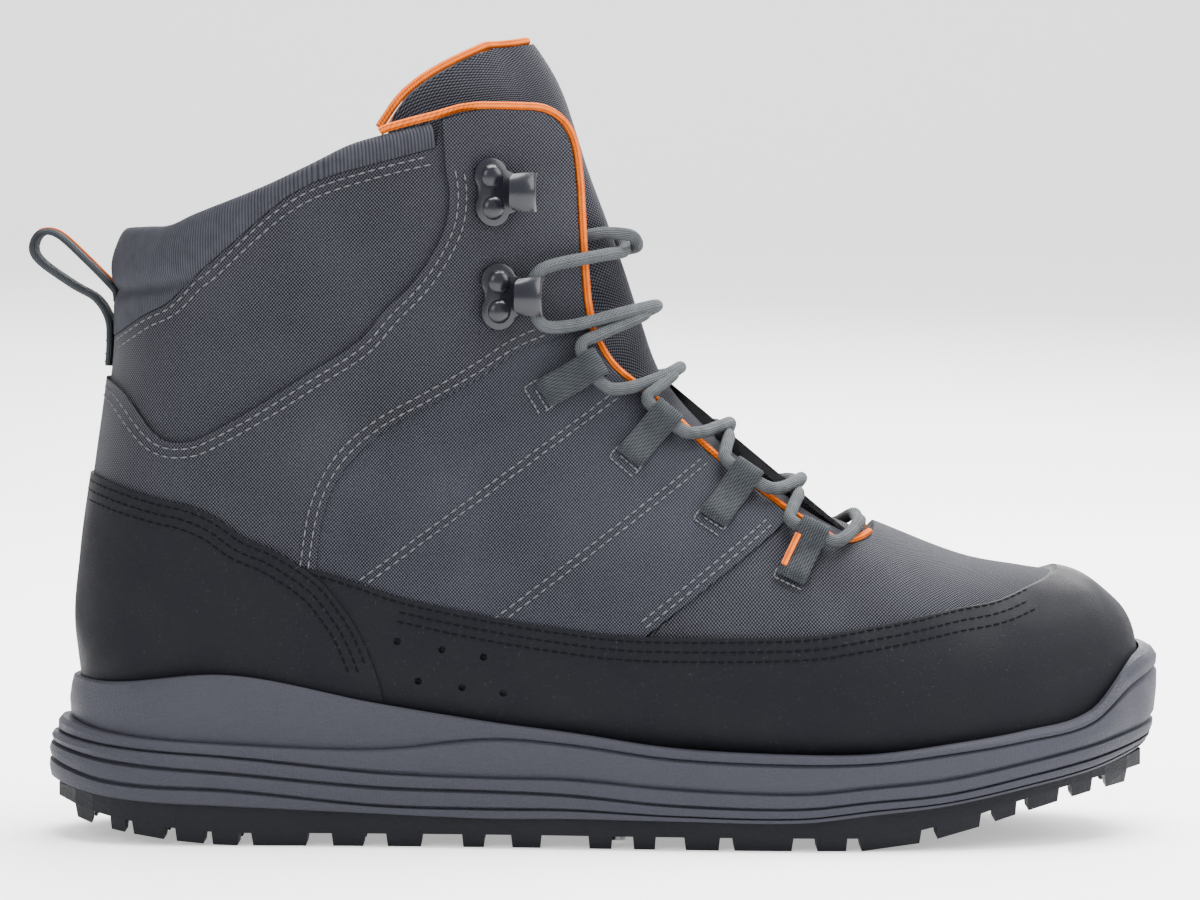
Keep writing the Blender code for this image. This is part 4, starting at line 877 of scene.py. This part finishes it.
def loopPath(place, inner):
    foot, tip, forward, across, up = loopFrame(place, inner)
    low = loopSize["seat"] + loopSize["web"] / 2
    middle = tip + up * (low + loopSize["eye"])
    path = [foot - forward * 0.0012 + up * (low - 0.0010), foot + up * low, foot.lerp(tip, 0.6) + up * low]
    for k in range(7):
        angle = math.radians(-90 + 36 * k)
        path.append(middle + (forward * math.cos(angle) + up * math.sin(angle)) * loopSize["eye"])
    top = low + loopSize["web"] + size["fit"] / 2
    path += [foot.lerp(tip, 0.55) + up * top, foot + forward * 0.0006 + up * (top - 0.0002)]
    return path + [foot - forward * 0.0008 + up * (low - 0.0004)], across


stitchSize = {"pitch": 0.0029, "long": 0.00115, "thick": 0.00027, "leatherPitch": 0.0026, "step": 0.0012,
              "doubleRows": (0.0016, 0.0036), "leatherRows": (0.0016, 0.0042, 0.0068)}


def addStitches(bm, path, long=None, pitch=None):
    # one small bead of thread for each stitch along the line
    row = bmesh.new()
    for a, b in zip(*[evenly([p for p, _ in path], (pitch or stitchSize["pitch"]))[k:] for k in (0, 1)]):
        spot = (a + b) / 2
        _, normal, _, _ = skin.find_nearest(spot)
        if normal.dot(spot - Vector((spot.x - 0.02, 0.0, 0.07))) < 0:
            normal = -normal
        along = (b - a).normalized()
        beside = normal.cross(along).normalized()
        up = along.cross(beside)
        turned = Matrix((along, beside, up)).transposed().to_4x4()
        thick = stitchSize["thick"]
        scale = Matrix.Diagonal((long or stitchSize["long"], thick, thick * 0.9, 1.0))
        bmesh.ops.create_uvsphere(row, u_segments=6, v_segments=4, radius=1.0,
                                  matrix=Matrix.Translation(spot) @ turned @ scale)
    sewn = bpy.data.meshes.new("sewn_row")
    row.to_mesh(sewn)
    row.free()
    bm.from_mesh(sewn)
    bpy.data.meshes.remove(sewn)


def seamPath(line, inner, lift, aside=0.0):
    # a line over the side of the boot, moved aside by an amount
    points = evenly([(x, z, 0.0) for x, z in smoothFlat(line)], stitchSize["step"])
    path = []
    for k, point in enumerate(points):
        along = (points[min(k + 1, len(points) - 1)] - points[max(k - 1, 0)]).normalized()
        path.append(onSide((point.x - along.y * aside, point.y + along.x * aside), inner, lift))
    return path


def smoothFlat(line, steps=6):
    return [(p.x, p.y) for p in smoothLine([(x, z, 0.0) for x, z in line], steps)]


def laceParts(inner, where):
    for rank, place in enumerate(laceLoops):
        path, across = loopPath(place, inner)
        ribbon(f"webbing_loop_{where}_{rank + 1}", path, across, loopSize["width"], loopSize["web"],
               greyWebbing, "grey_webbing", f"lace_loop_{where}_{rank + 1}")
        foot, tip, forward, _, up = loopFrame(place, inner)
        bm = bmesh.new()
        half = loopSize["width"] / 2
        start, end = (-0.0052, -0.0004) if rank < 3 else (-0.0036, 0.0002)
        rows = [(start, -half), (start, half), (end, half), (end, -half), (start, -half)]
        cross = [(start * 0.45 + end * 0.55, -half), (start * 0.45 + end * 0.55, half)]
        for corners in (rows, cross):
            line = [foot + forward * ahead + across * beside for ahead, beside in corners]
            flat = [(p.x, p.z) for p in line]
            path = []
            for (ax, az), (bx, bz) in zip(flat, flat[1:]):
                steps = max(2, round(math.dist((ax, az), (bx, bz)) / 0.001))
                path += [onSide((ax + (bx - ax) * k / steps, az + (bz - az) * k / steps), inner, 0.0011)
                         for k in range(steps)]
            addStitches(bm, path, 0.0008, 0.0017)
        dress(newPiece(f"box_stitches_{where}_{rank + 1}", bm), greyThread, "grey_lace")
    foot, tip, forward, across, up = loopFrame(laceLoops[3], inner)
    edge = -1 if across.x > 0 else 1
    low = loopSize["seat"] + loopSize["web"] * 2.1
    shift = across * edge * (loopSize["width"] / 2 - 0.0011)
    path = [foot + forward * ahead + shift + up * (low + rise)
            for ahead, rise in ((0.0, 0.0), (0.004, 0.0004), (0.008, 0.0014), (0.0105, 0.0024))]
    ribbon(f"orange_strip_{where}", path, across, 0.0018, 0.0006, orangeCord, "orange_cord")


mirrorSides(laceParts)


def hooks(inner, where):
    for level, place in zip(("upper", "lower"), hookSpots):
        base, forward, across, up = hookFrame(place, inner)
        seat = base + up * hookSize["seat"]
        rivets = []
        for rank in (0, 1):
            centre = onLast(side(place[rank]), inner, 0.0)
            rivets.append(centre - up * (centre - seat).dot(up))
        # plate: two lobes and a neck
        apart = (rivets[0] - rivets[1]).normalized()
        outline = []
        for centre, first, last in ((rivets[0], 20, 215), (rivets[1], 145, 340)):
            for k in range(13):
                angle = math.radians(first + (last - first) * k / 12)
                spoke = forward * math.cos(angle) + apart * math.sin(angle)
                outline.append(centre + spoke * hookSize["lobe"])
        nose, neck = seat + forward * hookSize["nose"], apart * hookSize["neck"]
        outline += [nose - neck, nose + forward * 0.0012, nose + neck]
        bm = bmesh.new()
        drawnOut(bm, outline, up * hookSize["plate"])
        rim = [e for e in bm.edges if len(e.link_faces) == 2 and e.calc_face_angle() > 1.2]
        bmesh.ops.bevel(bm, geom=rim, offset=0.0003, segments=2, profile=0.5, affect="EDGES", material=-1)
        # curled nose
        line = smoothLine(hookSize["curl"], 5)

        def curl(s, t):
            ahead, rise, broad = line[round(s * (len(line) - 1))]
            beside = 2 * t - 1
            late = min(max((s - 0.42) / 0.25, 0.0), 1.0)
            crown = (1 - beside * beside) * hookSize["crown"] * late
            bitten = (1 - beside * beside) * hookSize["bite"] * math.sin(
                math.pi * min(max((s - 0.2) / 0.6, 0), 1))
            ending = hookSize["flare"] * beside ** 4 * min(max((s - 0.75) / 0.25, 0.0), 1.0)
            return (seat + forward * (ahead * hookSize["reach"] - bitten + ending)
                    + up * (rise * hookSize["rise"] + crown)
                    + across * beside * broad * hookSize["width"] / 2)
        mapped(bm, len(line) - 1, 20, curl)
        piece = newPiece(f"lace_hook_{where}_{level}", bm, crease=45)
        solid = piece.modifiers.new("Solidify", "SOLIDIFY")
        solid.thickness, solid.offset = hookSize["sheet"], 0.0
        shaped(piece)
        dress(piece, blackMetal, "black_metal", f"hook_{where}_{level}")
        for rank in (0, 1):
            bm = bmesh.new()
            centre = rivets[rank] + up * 0.0008
            verts = [bm.verts.new(centre + forward * reach + up * rise) for reach, rise in rivetProfile]
            edges = [bm.edges.new(pair) for pair in zip(verts, verts[1:])]
            bmesh.ops.spin(bm, geom=verts + edges, cent=centre, axis=up, angle=turn, steps=28, use_merge=True)
            bmesh.ops.remove_doubles(bm, verts=bm.verts, dist=1e-6)
            bmesh.ops.holes_fill(bm, edges=[e for e in bm.edges if e.is_boundary], sides=0)
            bmesh.ops.recalc_face_normals(bm, faces=bm.faces)
            name = f"{where}_{level}_{rank + 1}"
            dress(newPiece(f"rivet_head_{name}", bm, crease=50), blackMetal, "black_metal", f"rivet_{name}")


mirrorSides(hooks)
print("lace, loops and hooks made")

# what the panels are cut with
def slid(points, ahead, up):
    return [(x + ahead, z + up) for x, z in points]


line = {name: smoothFlat(sides(points)) for name, points in (
    ("throat", throatEdge), ("collar", collarSeam), ("flap", flapTop), ("rand", randEdge),
    ("counter", counterEdge), ("ankleFront", ankleFront))}
throatCut = prism("throat_cut", line["throat"]
                  + sides(((0.748, 1.80), (0.86, 2.0), (0.86, 4.2), (0.463, 4.2))))
seamCut = prism("seam_cut", [side((-0.2, 2.14))] + line["collar"] + line["flap"][1:]
                + sides(((0.8, 2.80), (0.8, 4.2), (-0.2, 4.2))))


def halfPlan(x):
    heelEnd, toeEnd, blunt = 0.135, 0.24, 2.2
    full = 1.0
    if x < heelEnd:
        full = math.sqrt(max(1 - ((heelEnd - x) / heelEnd) ** 2, 0.0))
    if x > 1 - toeEnd:
        full = max(1 - ((x - 1 + toeEnd) / toeEnd) ** blunt, 0.0) ** (1 / blunt)
    middle = readTable(outlineColumns, outlineRows, "middle", x) * size["soleWidth"]
    return middle, readTable(outlineColumns, outlineRows, "half", x) * size["soleWidth"] * full


def planRing(inset, stations):
    points = []
    for i in range(2 * stations):
        x = 0.5 * (1 - math.cos(math.pi * i / stations))
        middle, half = halfPlan(x)
        points.append(Vector((x * size["length"], middle - half if i <= stations else middle + half)))
    ring = []
    for i, point in enumerate(points):
        along = points[(i + 1) % len(points)] - points[i - 1]
        ring.append(point - Vector((along.y, -along.x)).normalized() * inset(point.x / size["length"]))
    return ring


def plug(name, inset, top):
    bm = bmesh.new()
    drawnOut(bm, [(p.x, p.y, 0.0) for p in planRing(lambda x: inset, 48)], (0, 0, top))
    return newPiece(name, bm)


openingCut = plug("opening_cut", 0.021, size["soleHeight"] * 0.9)
insideCut = lastForm("inside_cut", -size["wall"])
shellTop = lastForm("shell_cut", -0.0008)
skinCut = lastForm("skin_cut", -0.0001)

# layers over the last: how far each outer face stands out
layer = {"shell": -0.0006, "vamp": 0.0001, "cuff": 0.0003, "quarter": 0.0009, "ankle": 0.0016,
         "rand": 0.0018, "counter": 0.0025}
shell = shaped(lastForm("upper_shell", layer["shell"]), ("DIFFERENCE", insideCut), ("DIFFERENCE", seamCut),
               ("DIFFERENCE", throatCut), ("DIFFERENCE", openingCut))
dress(shell, liningFelt, "woven_fabric", "upper", way="side")

underRand = slid(line["rand"], 0.0, -0.006)
vampArea = prism("vamp_area", [(0.158, 0.046), (0.2165, 0.1000), (0.300, 0.130), (0.306, 0.060)]
                 + [p for p in underRand[::-1] if 0.158 < p[0] < 0.306])
vamp = shaped(lastForm("vamp", layer["vamp"]), ("INTERSECT", vampArea), ("DIFFERENCE", shellTop),
              ("DIFFERENCE", throatCut))
dress(vamp, coarseCloth, "woven_fabric", way="foot")

quarterArea = prism("quarter_area", [(0.072, 0.064), (0.073, 0.092), (0.085, 0.118), (0.115, 0.138),
                                     (0.150, 0.156), (0.2155, 0.0955), (0.208, 0.0885), (0.1715, 0.060),
                                     (0.160, 0.0508)]
                    + [p for p in underRand[::-1] if 0.078 < p[0] < 0.158])
quarter = shaped(lastForm("quarter", layer["quarter"]), ("INTERSECT", quarterArea), ("DIFFERENCE", shellTop),
                 ("DIFFERENCE", throatCut))
dress(quarter, fineCloth, "woven_fabric", way="side")

cuffLine = smoothFlat(seams["cuff"])
cuffArea = prism("cuff_area", [(-0.05, 0.126)] + slid(cuffLine, 0.004, -0.004)
                 + [(0.118, 0.24), (-0.05, 0.24)])
cuff = shaped(lastForm("cuff", layer["cuff"]), ("INTERSECT", cuffArea), ("DIFFERENCE", shellTop),
              ("DIFFERENCE", seamCut))
dress(cuff, coarseCloth, "woven_fabric", way="side")

ankleArea = prism("ankle_area", [(-0.05, 0.1315)] + cuffLine + [(0.1145, 0.24), (0.19, 0.24)]
                  + line["ankleFront"] + [(0.078, 0.070), (0.0905, 0.052), (-0.05, 0.085)])
ankle = shaped(lastForm("ankle_overlay", layer["ankle"]), ("INTERSECT", ankleArea), ("DIFFERENCE", skinCut),
               ("DIFFERENCE", seamCut), ("DIFFERENCE", throatCut))
dress(ankle, coarseCloth, "woven_fabric", "ankle_panel", way="side")

# six holes through the rand on each side
holes = {"spots": ((0.1013, 0.0575), (0.1138, 0.0553), (0.1255, 0.0533),
                    (0.1072, 0.0464), (0.1194, 0.0447), (0.1310, 0.0433)),
         "radius": 0.00105}
bm = bmesh.new()
for x, z in holes["spots"]:
    for way in (-1, 1):
        bmesh.ops.create_cone(bm, segments=16, radius1=holes["radius"], radius2=holes["radius"], depth=0.03,
                              cap_ends=True, matrix=Matrix.Translation((x, way * 0.043, z))
                              @ Matrix.Rotation(math.pi / 2, 4, "X"))
holeCut = newPiece("hole_cut", bm)
randArea = prism("rand_area", line["rand"] + sides(((1.2, 1.50), (1.2, 0.0), (0.10, 0.0), (0.10, 1.40))))
rand = shaped(lastForm("toe_rand", layer["rand"]), ("INTERSECT", randArea), ("DIFFERENCE", skinCut),
              ("DIFFERENCE", openingCut), ("DIFFERENCE", holeCut))
dress(rand, blackLeather, "black_leather", "rand", way="foot")
counterArea = prism("counter_area", line["counter"] + sides(((0.309, 0.0), (-0.2, 0.0), (-0.2, 1.69))))
counter = shaped(lastForm("heel_cup", layer["counter"]), ("INTERSECT", counterArea), ("DIFFERENCE", skinCut),
                 ("DIFFERENCE", openingCut))
dress(counter, blackLeather, "black_leather", "heel_counter", way="side")
print("panels made")

# stitches along the seams
bm = bmesh.new()
dark = bmesh.new()


def sewSides(inner, where):
    for aside in (-0.0018, -0.0041):
        addStitches(bm, seamPath(seams["cuff"][1:-1], inner, layer["ankle"] + 0.0002, aside))
        addStitches(bm, seamPath(seams["ankle"][1:-1], inner, layer["ankle"] + 0.0002, -aside))
    for aside in (0.0014, 0.0037):
        addStitches(bm, seamPath(seams["collar"], inner, layer["cuff"] + 0.0002, -aside))
    for name in ("quarterRear", "quarterMiddle"):
        for aside in (-0.0011, 0.0011):
            addStitches(bm, seamPath(seams[name], inner, layer["quarter"] + 0.0001, aside))
    for aside in stitchSize["doubleRows"]:
        addStitches(bm, seamPath(seams["quarterFront"][1:-1], inner, layer["quarter"] + 0.0001, aside))
    for aside in stitchSize["leatherRows"]:
        rim = [p for p in sides(counterEdge) if 0.004 < p[0] < 0.0975 and p[1] > 0.042]
        addStitches(dark, seamPath(rim, inner, layer["counter"] + 0.0001, -aside),
                    pitch=stitchSize["leatherPitch"])
        rim = [p for p in sides(randEdge) if p[0] < 0.284]
        if aside > 0.003:
            rim = [p for p in rim if p[0] > 0.090]
        addStitches(dark, seamPath(rim, inner, layer["rand"] + 0.0001, -aside),
                    pitch=stitchSize["leatherPitch"])


mirrorSides(sewSides)
dress(newPiece("seam_stitches", bm), greyThread, "woven_fabric")
dress(newPiece("leather_stitches", dark), blackThread, "black_leather")
print("seams sewn")


# padded collar roll
def rowAtLine(v, points, lift):
    low, high = 12.0, float(topRow)
    for _ in range(24):
        u = (low + high) / 2
        point = lastPoint(u, v)
        k = 0
        while k < len(points) - 2 and point.x > points[k + 1][0]:
            k += 1
        (x0, z0), (x1, z1) = points[k], points[k + 1]
        if point.z > z0 + (z1 - z0) * (point.x - x0) / (x1 - x0) + lift:
            high = u
        else:
            low = u
    return (low + high) / 2


collarSize = {"thick": 0.0065, "proud": 0.0006, "stations": 110}
seamSide, topSide = smoothFlat(sides(collarSeam)), smoothFlat(sides(collarTop))
start = 0.0
while lastPoint(rowAtLine(start, topSide, 0.0), start).x > side((0.350, 0))[0]:
    start += 0.002
rollSection = smoothLine([(rise, depth, 0.0) for rise, depth in
                          collarSection + ((-0.04, 0.6), (0.0, 0.0))], 7)[:-1]
rollRings = []
for i in range(collarSize["stations"] + 1):
    v = start + (1 - 2 * start) * i / collarSize["stations"]
    low, high = rowAtLine(v, seamSide, size["fit"]), rowAtLine(v, topSide, 0.0)
    ring = []
    for spot in rollSection:
        u, sunk = low + (high - low) * spot.x, collarSize["thick"] * spot.y
        point = lastPoint(u, v)
        if spot.y < 0.3:
            away = point.z - (0.1552 + 0.13 * (point.x - 0.022))
            fade = 1 / (1 + math.exp((point.x - 0.046) / 0.0022))
            sunk += (0.0016 * math.exp(-(away / 0.0017) ** 2)
                     - 0.0011 * math.exp(-((away - 0.008) / 0.006) ** 2)) * fade
        ring.append(lastAt(u, v, collarSize["proud"] - sunk))
    rollRings.append(ring)
bm = bmesh.new()
mapped(bm, collarSize["stations"], len(rollSection),
       lambda s, t: rollRings[round(s * collarSize["stations"])][
           round(t * len(rollSection)) % len(rollSection)],
       closed=True, caps=True, span=(0.24, 0.075), turned=True)
roll = dress(newPiece("padded_collar_roll", bm, crease=80), collarKnit, "collar_knit", "collar")

# padded tongue
def tonguePoint(s, t):
    # t runs over the outer face and back along the inner one
    front = t < 0.5
    spin = 4 * t - 1 if front else 3 - 4 * t
    spin = min(max(spin, -1.0), 1.0)
    top = tongueTop(spin)
    u = tongueSize["from"] + (top - tongueSize["from"]) * s
    width = hermite((6.0, 10.0, 13.0, 18.0), tongueSize["widths"], u)
    drop = tongueDrop(u, spin * width)
    edge = 0.55 + 0.45 * (1 - spin ** 4)
    rounding = 0.0011 * spin ** 8
    if front:
        return lastAt(u, spin * width, -drop - rounding)
    return lastAt(u, spin * width, -drop - tongueSize["thick"] * edge + rounding)


bm = bmesh.new()
mapped(bm, 60, 80, tonguePoint, closed=True, caps=True, span=(0.17, 0.13))
tongue = dress(newPiece("padded_tongue", bm, crease=60), coarseCloth, "woven_fabric", "tongue")

# footbed
insoleForm = lastForm("footbed", 0.0022)
insoleArea = plug("insole_area", 0.0213, size["soleHeight"] * 0.9)
insideBed = lastForm("inside_bed", -size["wall"] - size["fit"])
feather = [side((row[2], row[3])) for row in lastRows[1:13]]
bedLift = size["wall"] + 0.0045
bedTop = prism("above_bed", slid([(size["length"] * 1.2, feather[0][1])] + smoothFlat(feather)
                                 + [(-size["length"] * 0.2, feather[-1][1])], 0.0, bedLift)
               + sides(((-0.2, 4.2), (1.2, 4.2))))
bed = shaped(insoleForm, ("INTERSECT", insoleArea), ("UNION", insideBed), ("DIFFERENCE", bedTop))
dress(bed, liningFelt, "footbed_felt", "insole")
print("collar, tongue and footbed made")

# midsole: rings from the rim down to the lower edge, with cut grooves
foam = {"stations": 130, "groove": 0.0010, "lip": 0.0006, "rings": (
    ("rim", "rim", 0.0, 1.02, 0.72, 0.6), ("rim", "step", 0.05, 0.97, 0.50, 0.0),
    ("rim", "step", 0.25, 0.90, 0.22, -0.2), ("rim", "step", 0.60, 0.82, 0.04, -0.2),
    ("rim", "step", 0.92, 0.80, 0.00, 0.3), ("step", "step", 0.0, 0.72, 0.00, 1.2),
    ("step", "high", 0.12, 0.52, 0.02, 0.0), ("step", "high", 0.45, 0.38, 0.05, -0.3),
    ("step", "high", 0.85, 0.33, 0.10, 0.1), ("high", "high", 0.0, 0.32, 0.14, 1.2),
    ("high", "middle", 0.14, 0.17, 0.16, 0.0), ("high", "middle", 0.5, 0.10, 0.20, -0.3),
    ("high", "middle", 0.86, 0.12, 0.23, 0.1), ("middle", "middle", 0.0, 0.14, 0.26, 1.2),
    ("middle", "low", 0.14, 0.06, 0.28, 0.0), ("middle", "low", 0.5, 0.01, 0.32, -0.3),
    ("middle", "low", 0.86, 0.02, 0.36, 0.1), ("low", "low", 0.0, 0.04, 0.38, 1.2),
    ("low", "edge", 0.15, 0.00, 0.40, 0.0), ("low", "edge", 0.5, 0.00, 0.44, -0.2),
    ("low", "edge", 0.9, 0.03, 0.50, 0.1), ("edge", "edge", 0.0, 0.12, 0.54, 0.6))}


def lineHeight(name, x):
    return max(readTable(lineColumns, lineRows, name, x), 0.0) * size["soleHeight"]


foamRings = []
for above, below, share, heel, toe, groove in foam["rings"]:
    def inset(x):
        depth = foam["groove"] if groove > 0 else foam["lip"]
        return size["flare"] * (heel * readTable(flareColumns, flareRows, "heel", x)
                                + toe * readTable(flareColumns, flareRows, "toe", x)) + depth * groove
    ring = []
    for spot in planRing(inset, foam["stations"]):
        x = spot.x / size["length"]
        high, low = lineHeight(above, x), lineHeight(below, x)
        ring.append(Vector((spot.x, spot.y, high + (low - high) * share)))
    foamRings.append(ring)
bm = bmesh.new()
around = 2 * foam["stations"]
mapped(bm, around, len(foamRings) - 1,
       lambda s, t: foamRings[round(t * (len(foamRings) - 1))][round(s * around) % around], closed=True)
bm.verts.ensure_lookup_table()
for ring in (foamRings[0], foamRings[-1]):
    # strips from side to side close the rim and the foot
    found = {}
    for vert in bm.verts:
        found[tuple(round(c, 6) for c in vert.co)] = vert
    row = [found[tuple(round(c, 6) for c in point)] for point in ring]
    bm.faces.new((row[0], row[1], row[-1]))
    for i in range(1, foam["stations"] - 1):
        bm.faces.new((row[i], row[i + 1], row[around - i - 1], row[around - i]))
    bm.faces.new((row[foam["stations"] - 1], row[foam["stations"]], row[foam["stations"] + 1]))
bmesh.ops.recalc_face_normals(bm, faces=bm.faces)
footRoom = lastForm("foot_room", 0.0025)
midsole = shaped(newPiece("moulded_midsole", bm), ("DIFFERENCE", footRoom))
dress(midsole, greyFoam, "midsole_foam", "midsole")
print("midsole made")


# piping along the flaps, the throat and the tongue
def edgePath(points, inner, lift, gap):
    points = smoothFlat(points, 5)
    path = []
    for k, point in enumerate(points):
        ahead, behind = points[min(k + 1, len(points) - 1)], points[max(k - 1, 0)]
        along = Vector((ahead[0] - behind[0], ahead[1] - behind[1])).normalized()
        x, z = point[0] + along.y * gap, point[1] - along.x * gap
        beside, _ = onSide((x, min(z, size["shaftHeight"] - size["fit"])), inner, lift)
        path.append(Vector((x, beside.y, z)))
    return path


pipeEnd = ((0.1185, 0.2066), (0.1125, 0.2048), (0.1055, 0.2030), (0.0985, 0.2010), (0.0965, 0.2000))


def pipe(inner, where):
    edge = sides(throatEdge[7:1:-1] + flapTop[4:0:-1])
    bm = bmesh.new()
    cord = edgePath(edge, inner, 0.0003, size["piping"] / 2 + 0.0001)
    behind = [onSide((x, z - 0.003), inner, -0.0026)[0].y for x, z in pipeEnd]
    cord += [Vector((x, y, z)) for (x, z), y in zip(pipeEnd, behind)]
    tubeAlong(bm, smoothLine(cord, 2), size["piping"] / 2, 14)
    dress(newPiece(f"flap_cord_{where}", bm, crease=80), orangeCord, "orange_cord", f"flap_piping_{where}")
    bm = bmesh.new()
    tubeAlong(bm, edgePath(sides(throatEdge[:5:-1])[1:], inner, 0.0003, 0.0011), 0.00100, 12)
    dress(newPiece(f"throat_cord_{where}", bm, crease=80), orangeCord, "orange_cord")


mirrorSides(pipe)
points = []
for j in range(25):
    spin = (2 * j / 24 - 1) * 0.99
    u, v = tongueTop(spin), spin * tongueSize["widths"][-1]
    drop = tongueDrop(u, v)
    rise = (lastAt(u, v, -drop) - lastAt(u - 0.5, v, -drop)).normalized()
    edge = lastAt(u, v, -drop - tongueSize["thick"] / 3)
    points.append(edge + rise * (size["piping"] / 2 + size["fit"] / 2))
bm = bmesh.new()
tubeAlong(bm, smoothLine(points, 3), size["piping"] / 2, 14)
dress(newPiece("tongue_cord", bm, crease=80), orangeCord, "orange_cord", "tongue_piping")

# pull loop behind the collar
pull = {"width": 0.0150, "web": 0.0022, "stem": ((-0.56, 0.0012), (-0.10, 0.0014), (0.32, 0.0023)),
        "end": ((0.0187, 0.1562), (0.0199, 0.1540), (0.0200, 0.1520))}
pullStem = [lastAt(rowAtLine(0.5, sides(collarSeam), pull["width"] * rise), 0.5, seat)
            for rise, seat in pull["stem"]]
pullLine = sides(pullLoopRing[:-1]) + list(pull["end"])
pullPath = pullStem + [Vector((x, pullStem[-1].y, z)) for x, z in pullLine]
ribbon("heel_pull_loop", pullPath, Vector((0, 1, 0)), pull["width"], pull["web"] * 0.8, greyWebbing,
       "grey_webbing", "pull_loop")
stripe = smoothLine(pullPath, 4)
outside = []
for k in range(5, len(stripe) - 4):
    along = (stripe[k + 1] - stripe[k - 1]).normalized()
    outside.append(stripe[k] + Vector((0, 1, 0)).cross(along).normalized() * (-pull["web"] * 0.46))
bm = bmesh.new()
for up in (0.0012, 0.0034, 0.0072, 0.0094):
    for k in range(5):
        low = pullStem[0].lerp(pullStem[1], up / (pullStem[1] - pullStem[0]).length)
        spot = low + Vector((-pull["web"] * 0.42, (k - 2) * 0.0027, 0.0))
        bmesh.ops.create_uvsphere(bm, u_segments=6, v_segments=4, radius=1.0,
                                  matrix=Matrix.Translation(spot)
                                  @ Matrix.Diagonal((0.0003, 0.0010, 0.0003, 1.0)))
dress(newPiece("pull_loop_stitches", bm), greyThread, "grey_webbing")
ribbon("pull_loop_stripe", outside, Vector((0, 1, 0)), 0.0030, 0.0005, orangeCord, "orange_cord")
print("piping and pull loop made")

# tread rubber keeps its solid and gets a worn finish
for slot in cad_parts["outsole"].material_slots:
    slot.material = blackRubber
stud = {"place": (0.163, -0.030, 0.0042), "radius": 0.0033, "tip": 0.0022, "height": 0.0070}
bm = bmesh.new()
bmesh.ops.create_cone(bm, cap_ends=True, segments=16, radius1=stud["tip"], radius2=stud["radius"],
                      depth=stud["height"], matrix=Matrix.Translation(stud["place"]))
dress(newPiece("steel_stud", bm), steelStud, "black_metal")
for piece in cutters:
    bpy.data.objects.remove(piece, do_unlink=True)

# pale floor and soft studio light
bm = bmesh.new()
floorLine = [(-2.2, 0.0), (1.6, 0.0), (2.4, 0.15), (2.8, 0.6), (3.0, 1.4), (3.0, 4.0)]
verts = [bm.verts.new((-4.0, y, z)) for y, z in floorLine]
edges = [bm.edges.new(pair) for pair in zip(verts, verts[1:])]
drawn = bmesh.ops.extrude_edge_only(bm, edges=edges)["geom"]
bmesh.ops.translate(bm, verts=[g for g in drawn if isinstance(g, bmesh.types.BMVert)], vec=(8.0, 0, 0))
bmesh.ops.recalc_face_normals(bm, faces=bm.faces)
floor = newPiece("studio_floor", bm)
paper, tree, surface = newFinish("pale_paper", 0.9)
surface.inputs["Base Color"].default_value = (0.86, 0.86, 0.86, 1.0)
surface.inputs["Emission Color"].default_value = (1.0, 1.0, 1.0, 1.0)
surface.inputs["Emission Strength"].default_value = 0.50
floor.data.materials.append(paper)
world = bpy.data.worlds.new("studio_air")
world.use_nodes = True
world.node_tree.nodes["Background"].inputs["Color"].default_value = (0.96, 0.97, 1.0, 1.0)
world.node_tree.nodes["Background"].inputs["Strength"].default_value = 0.92
bpy.context.scene.world = world
lights = {
    "top_panel": ((0.25, 0.15, 1.5), 1.3, 100.0), "front_panel": ((-0.8, -1.8, 1.1), 1.2, 26.0),
    "right_panel": ((1.5, -0.3, 0.9), 1.0, 26.0), "rear_panel": ((0.3, 1.5, 1.1), 1.4, 72.0)}
for name, (place, broad, watts) in lights.items():
    lamp = bpy.data.lights.new(name, "AREA")
    lamp.energy, lamp.size = watts, broad
    holder = bpy.data.objects.new(name, lamp)
    holder.location = place
    holder.rotation_euler = (Vector((0.0, 0.0, 0.09)) - Vector(place)).to_track_quat("-Z", "Y").to_euler()
    bpy.context.scene.collection.objects.link(holder)
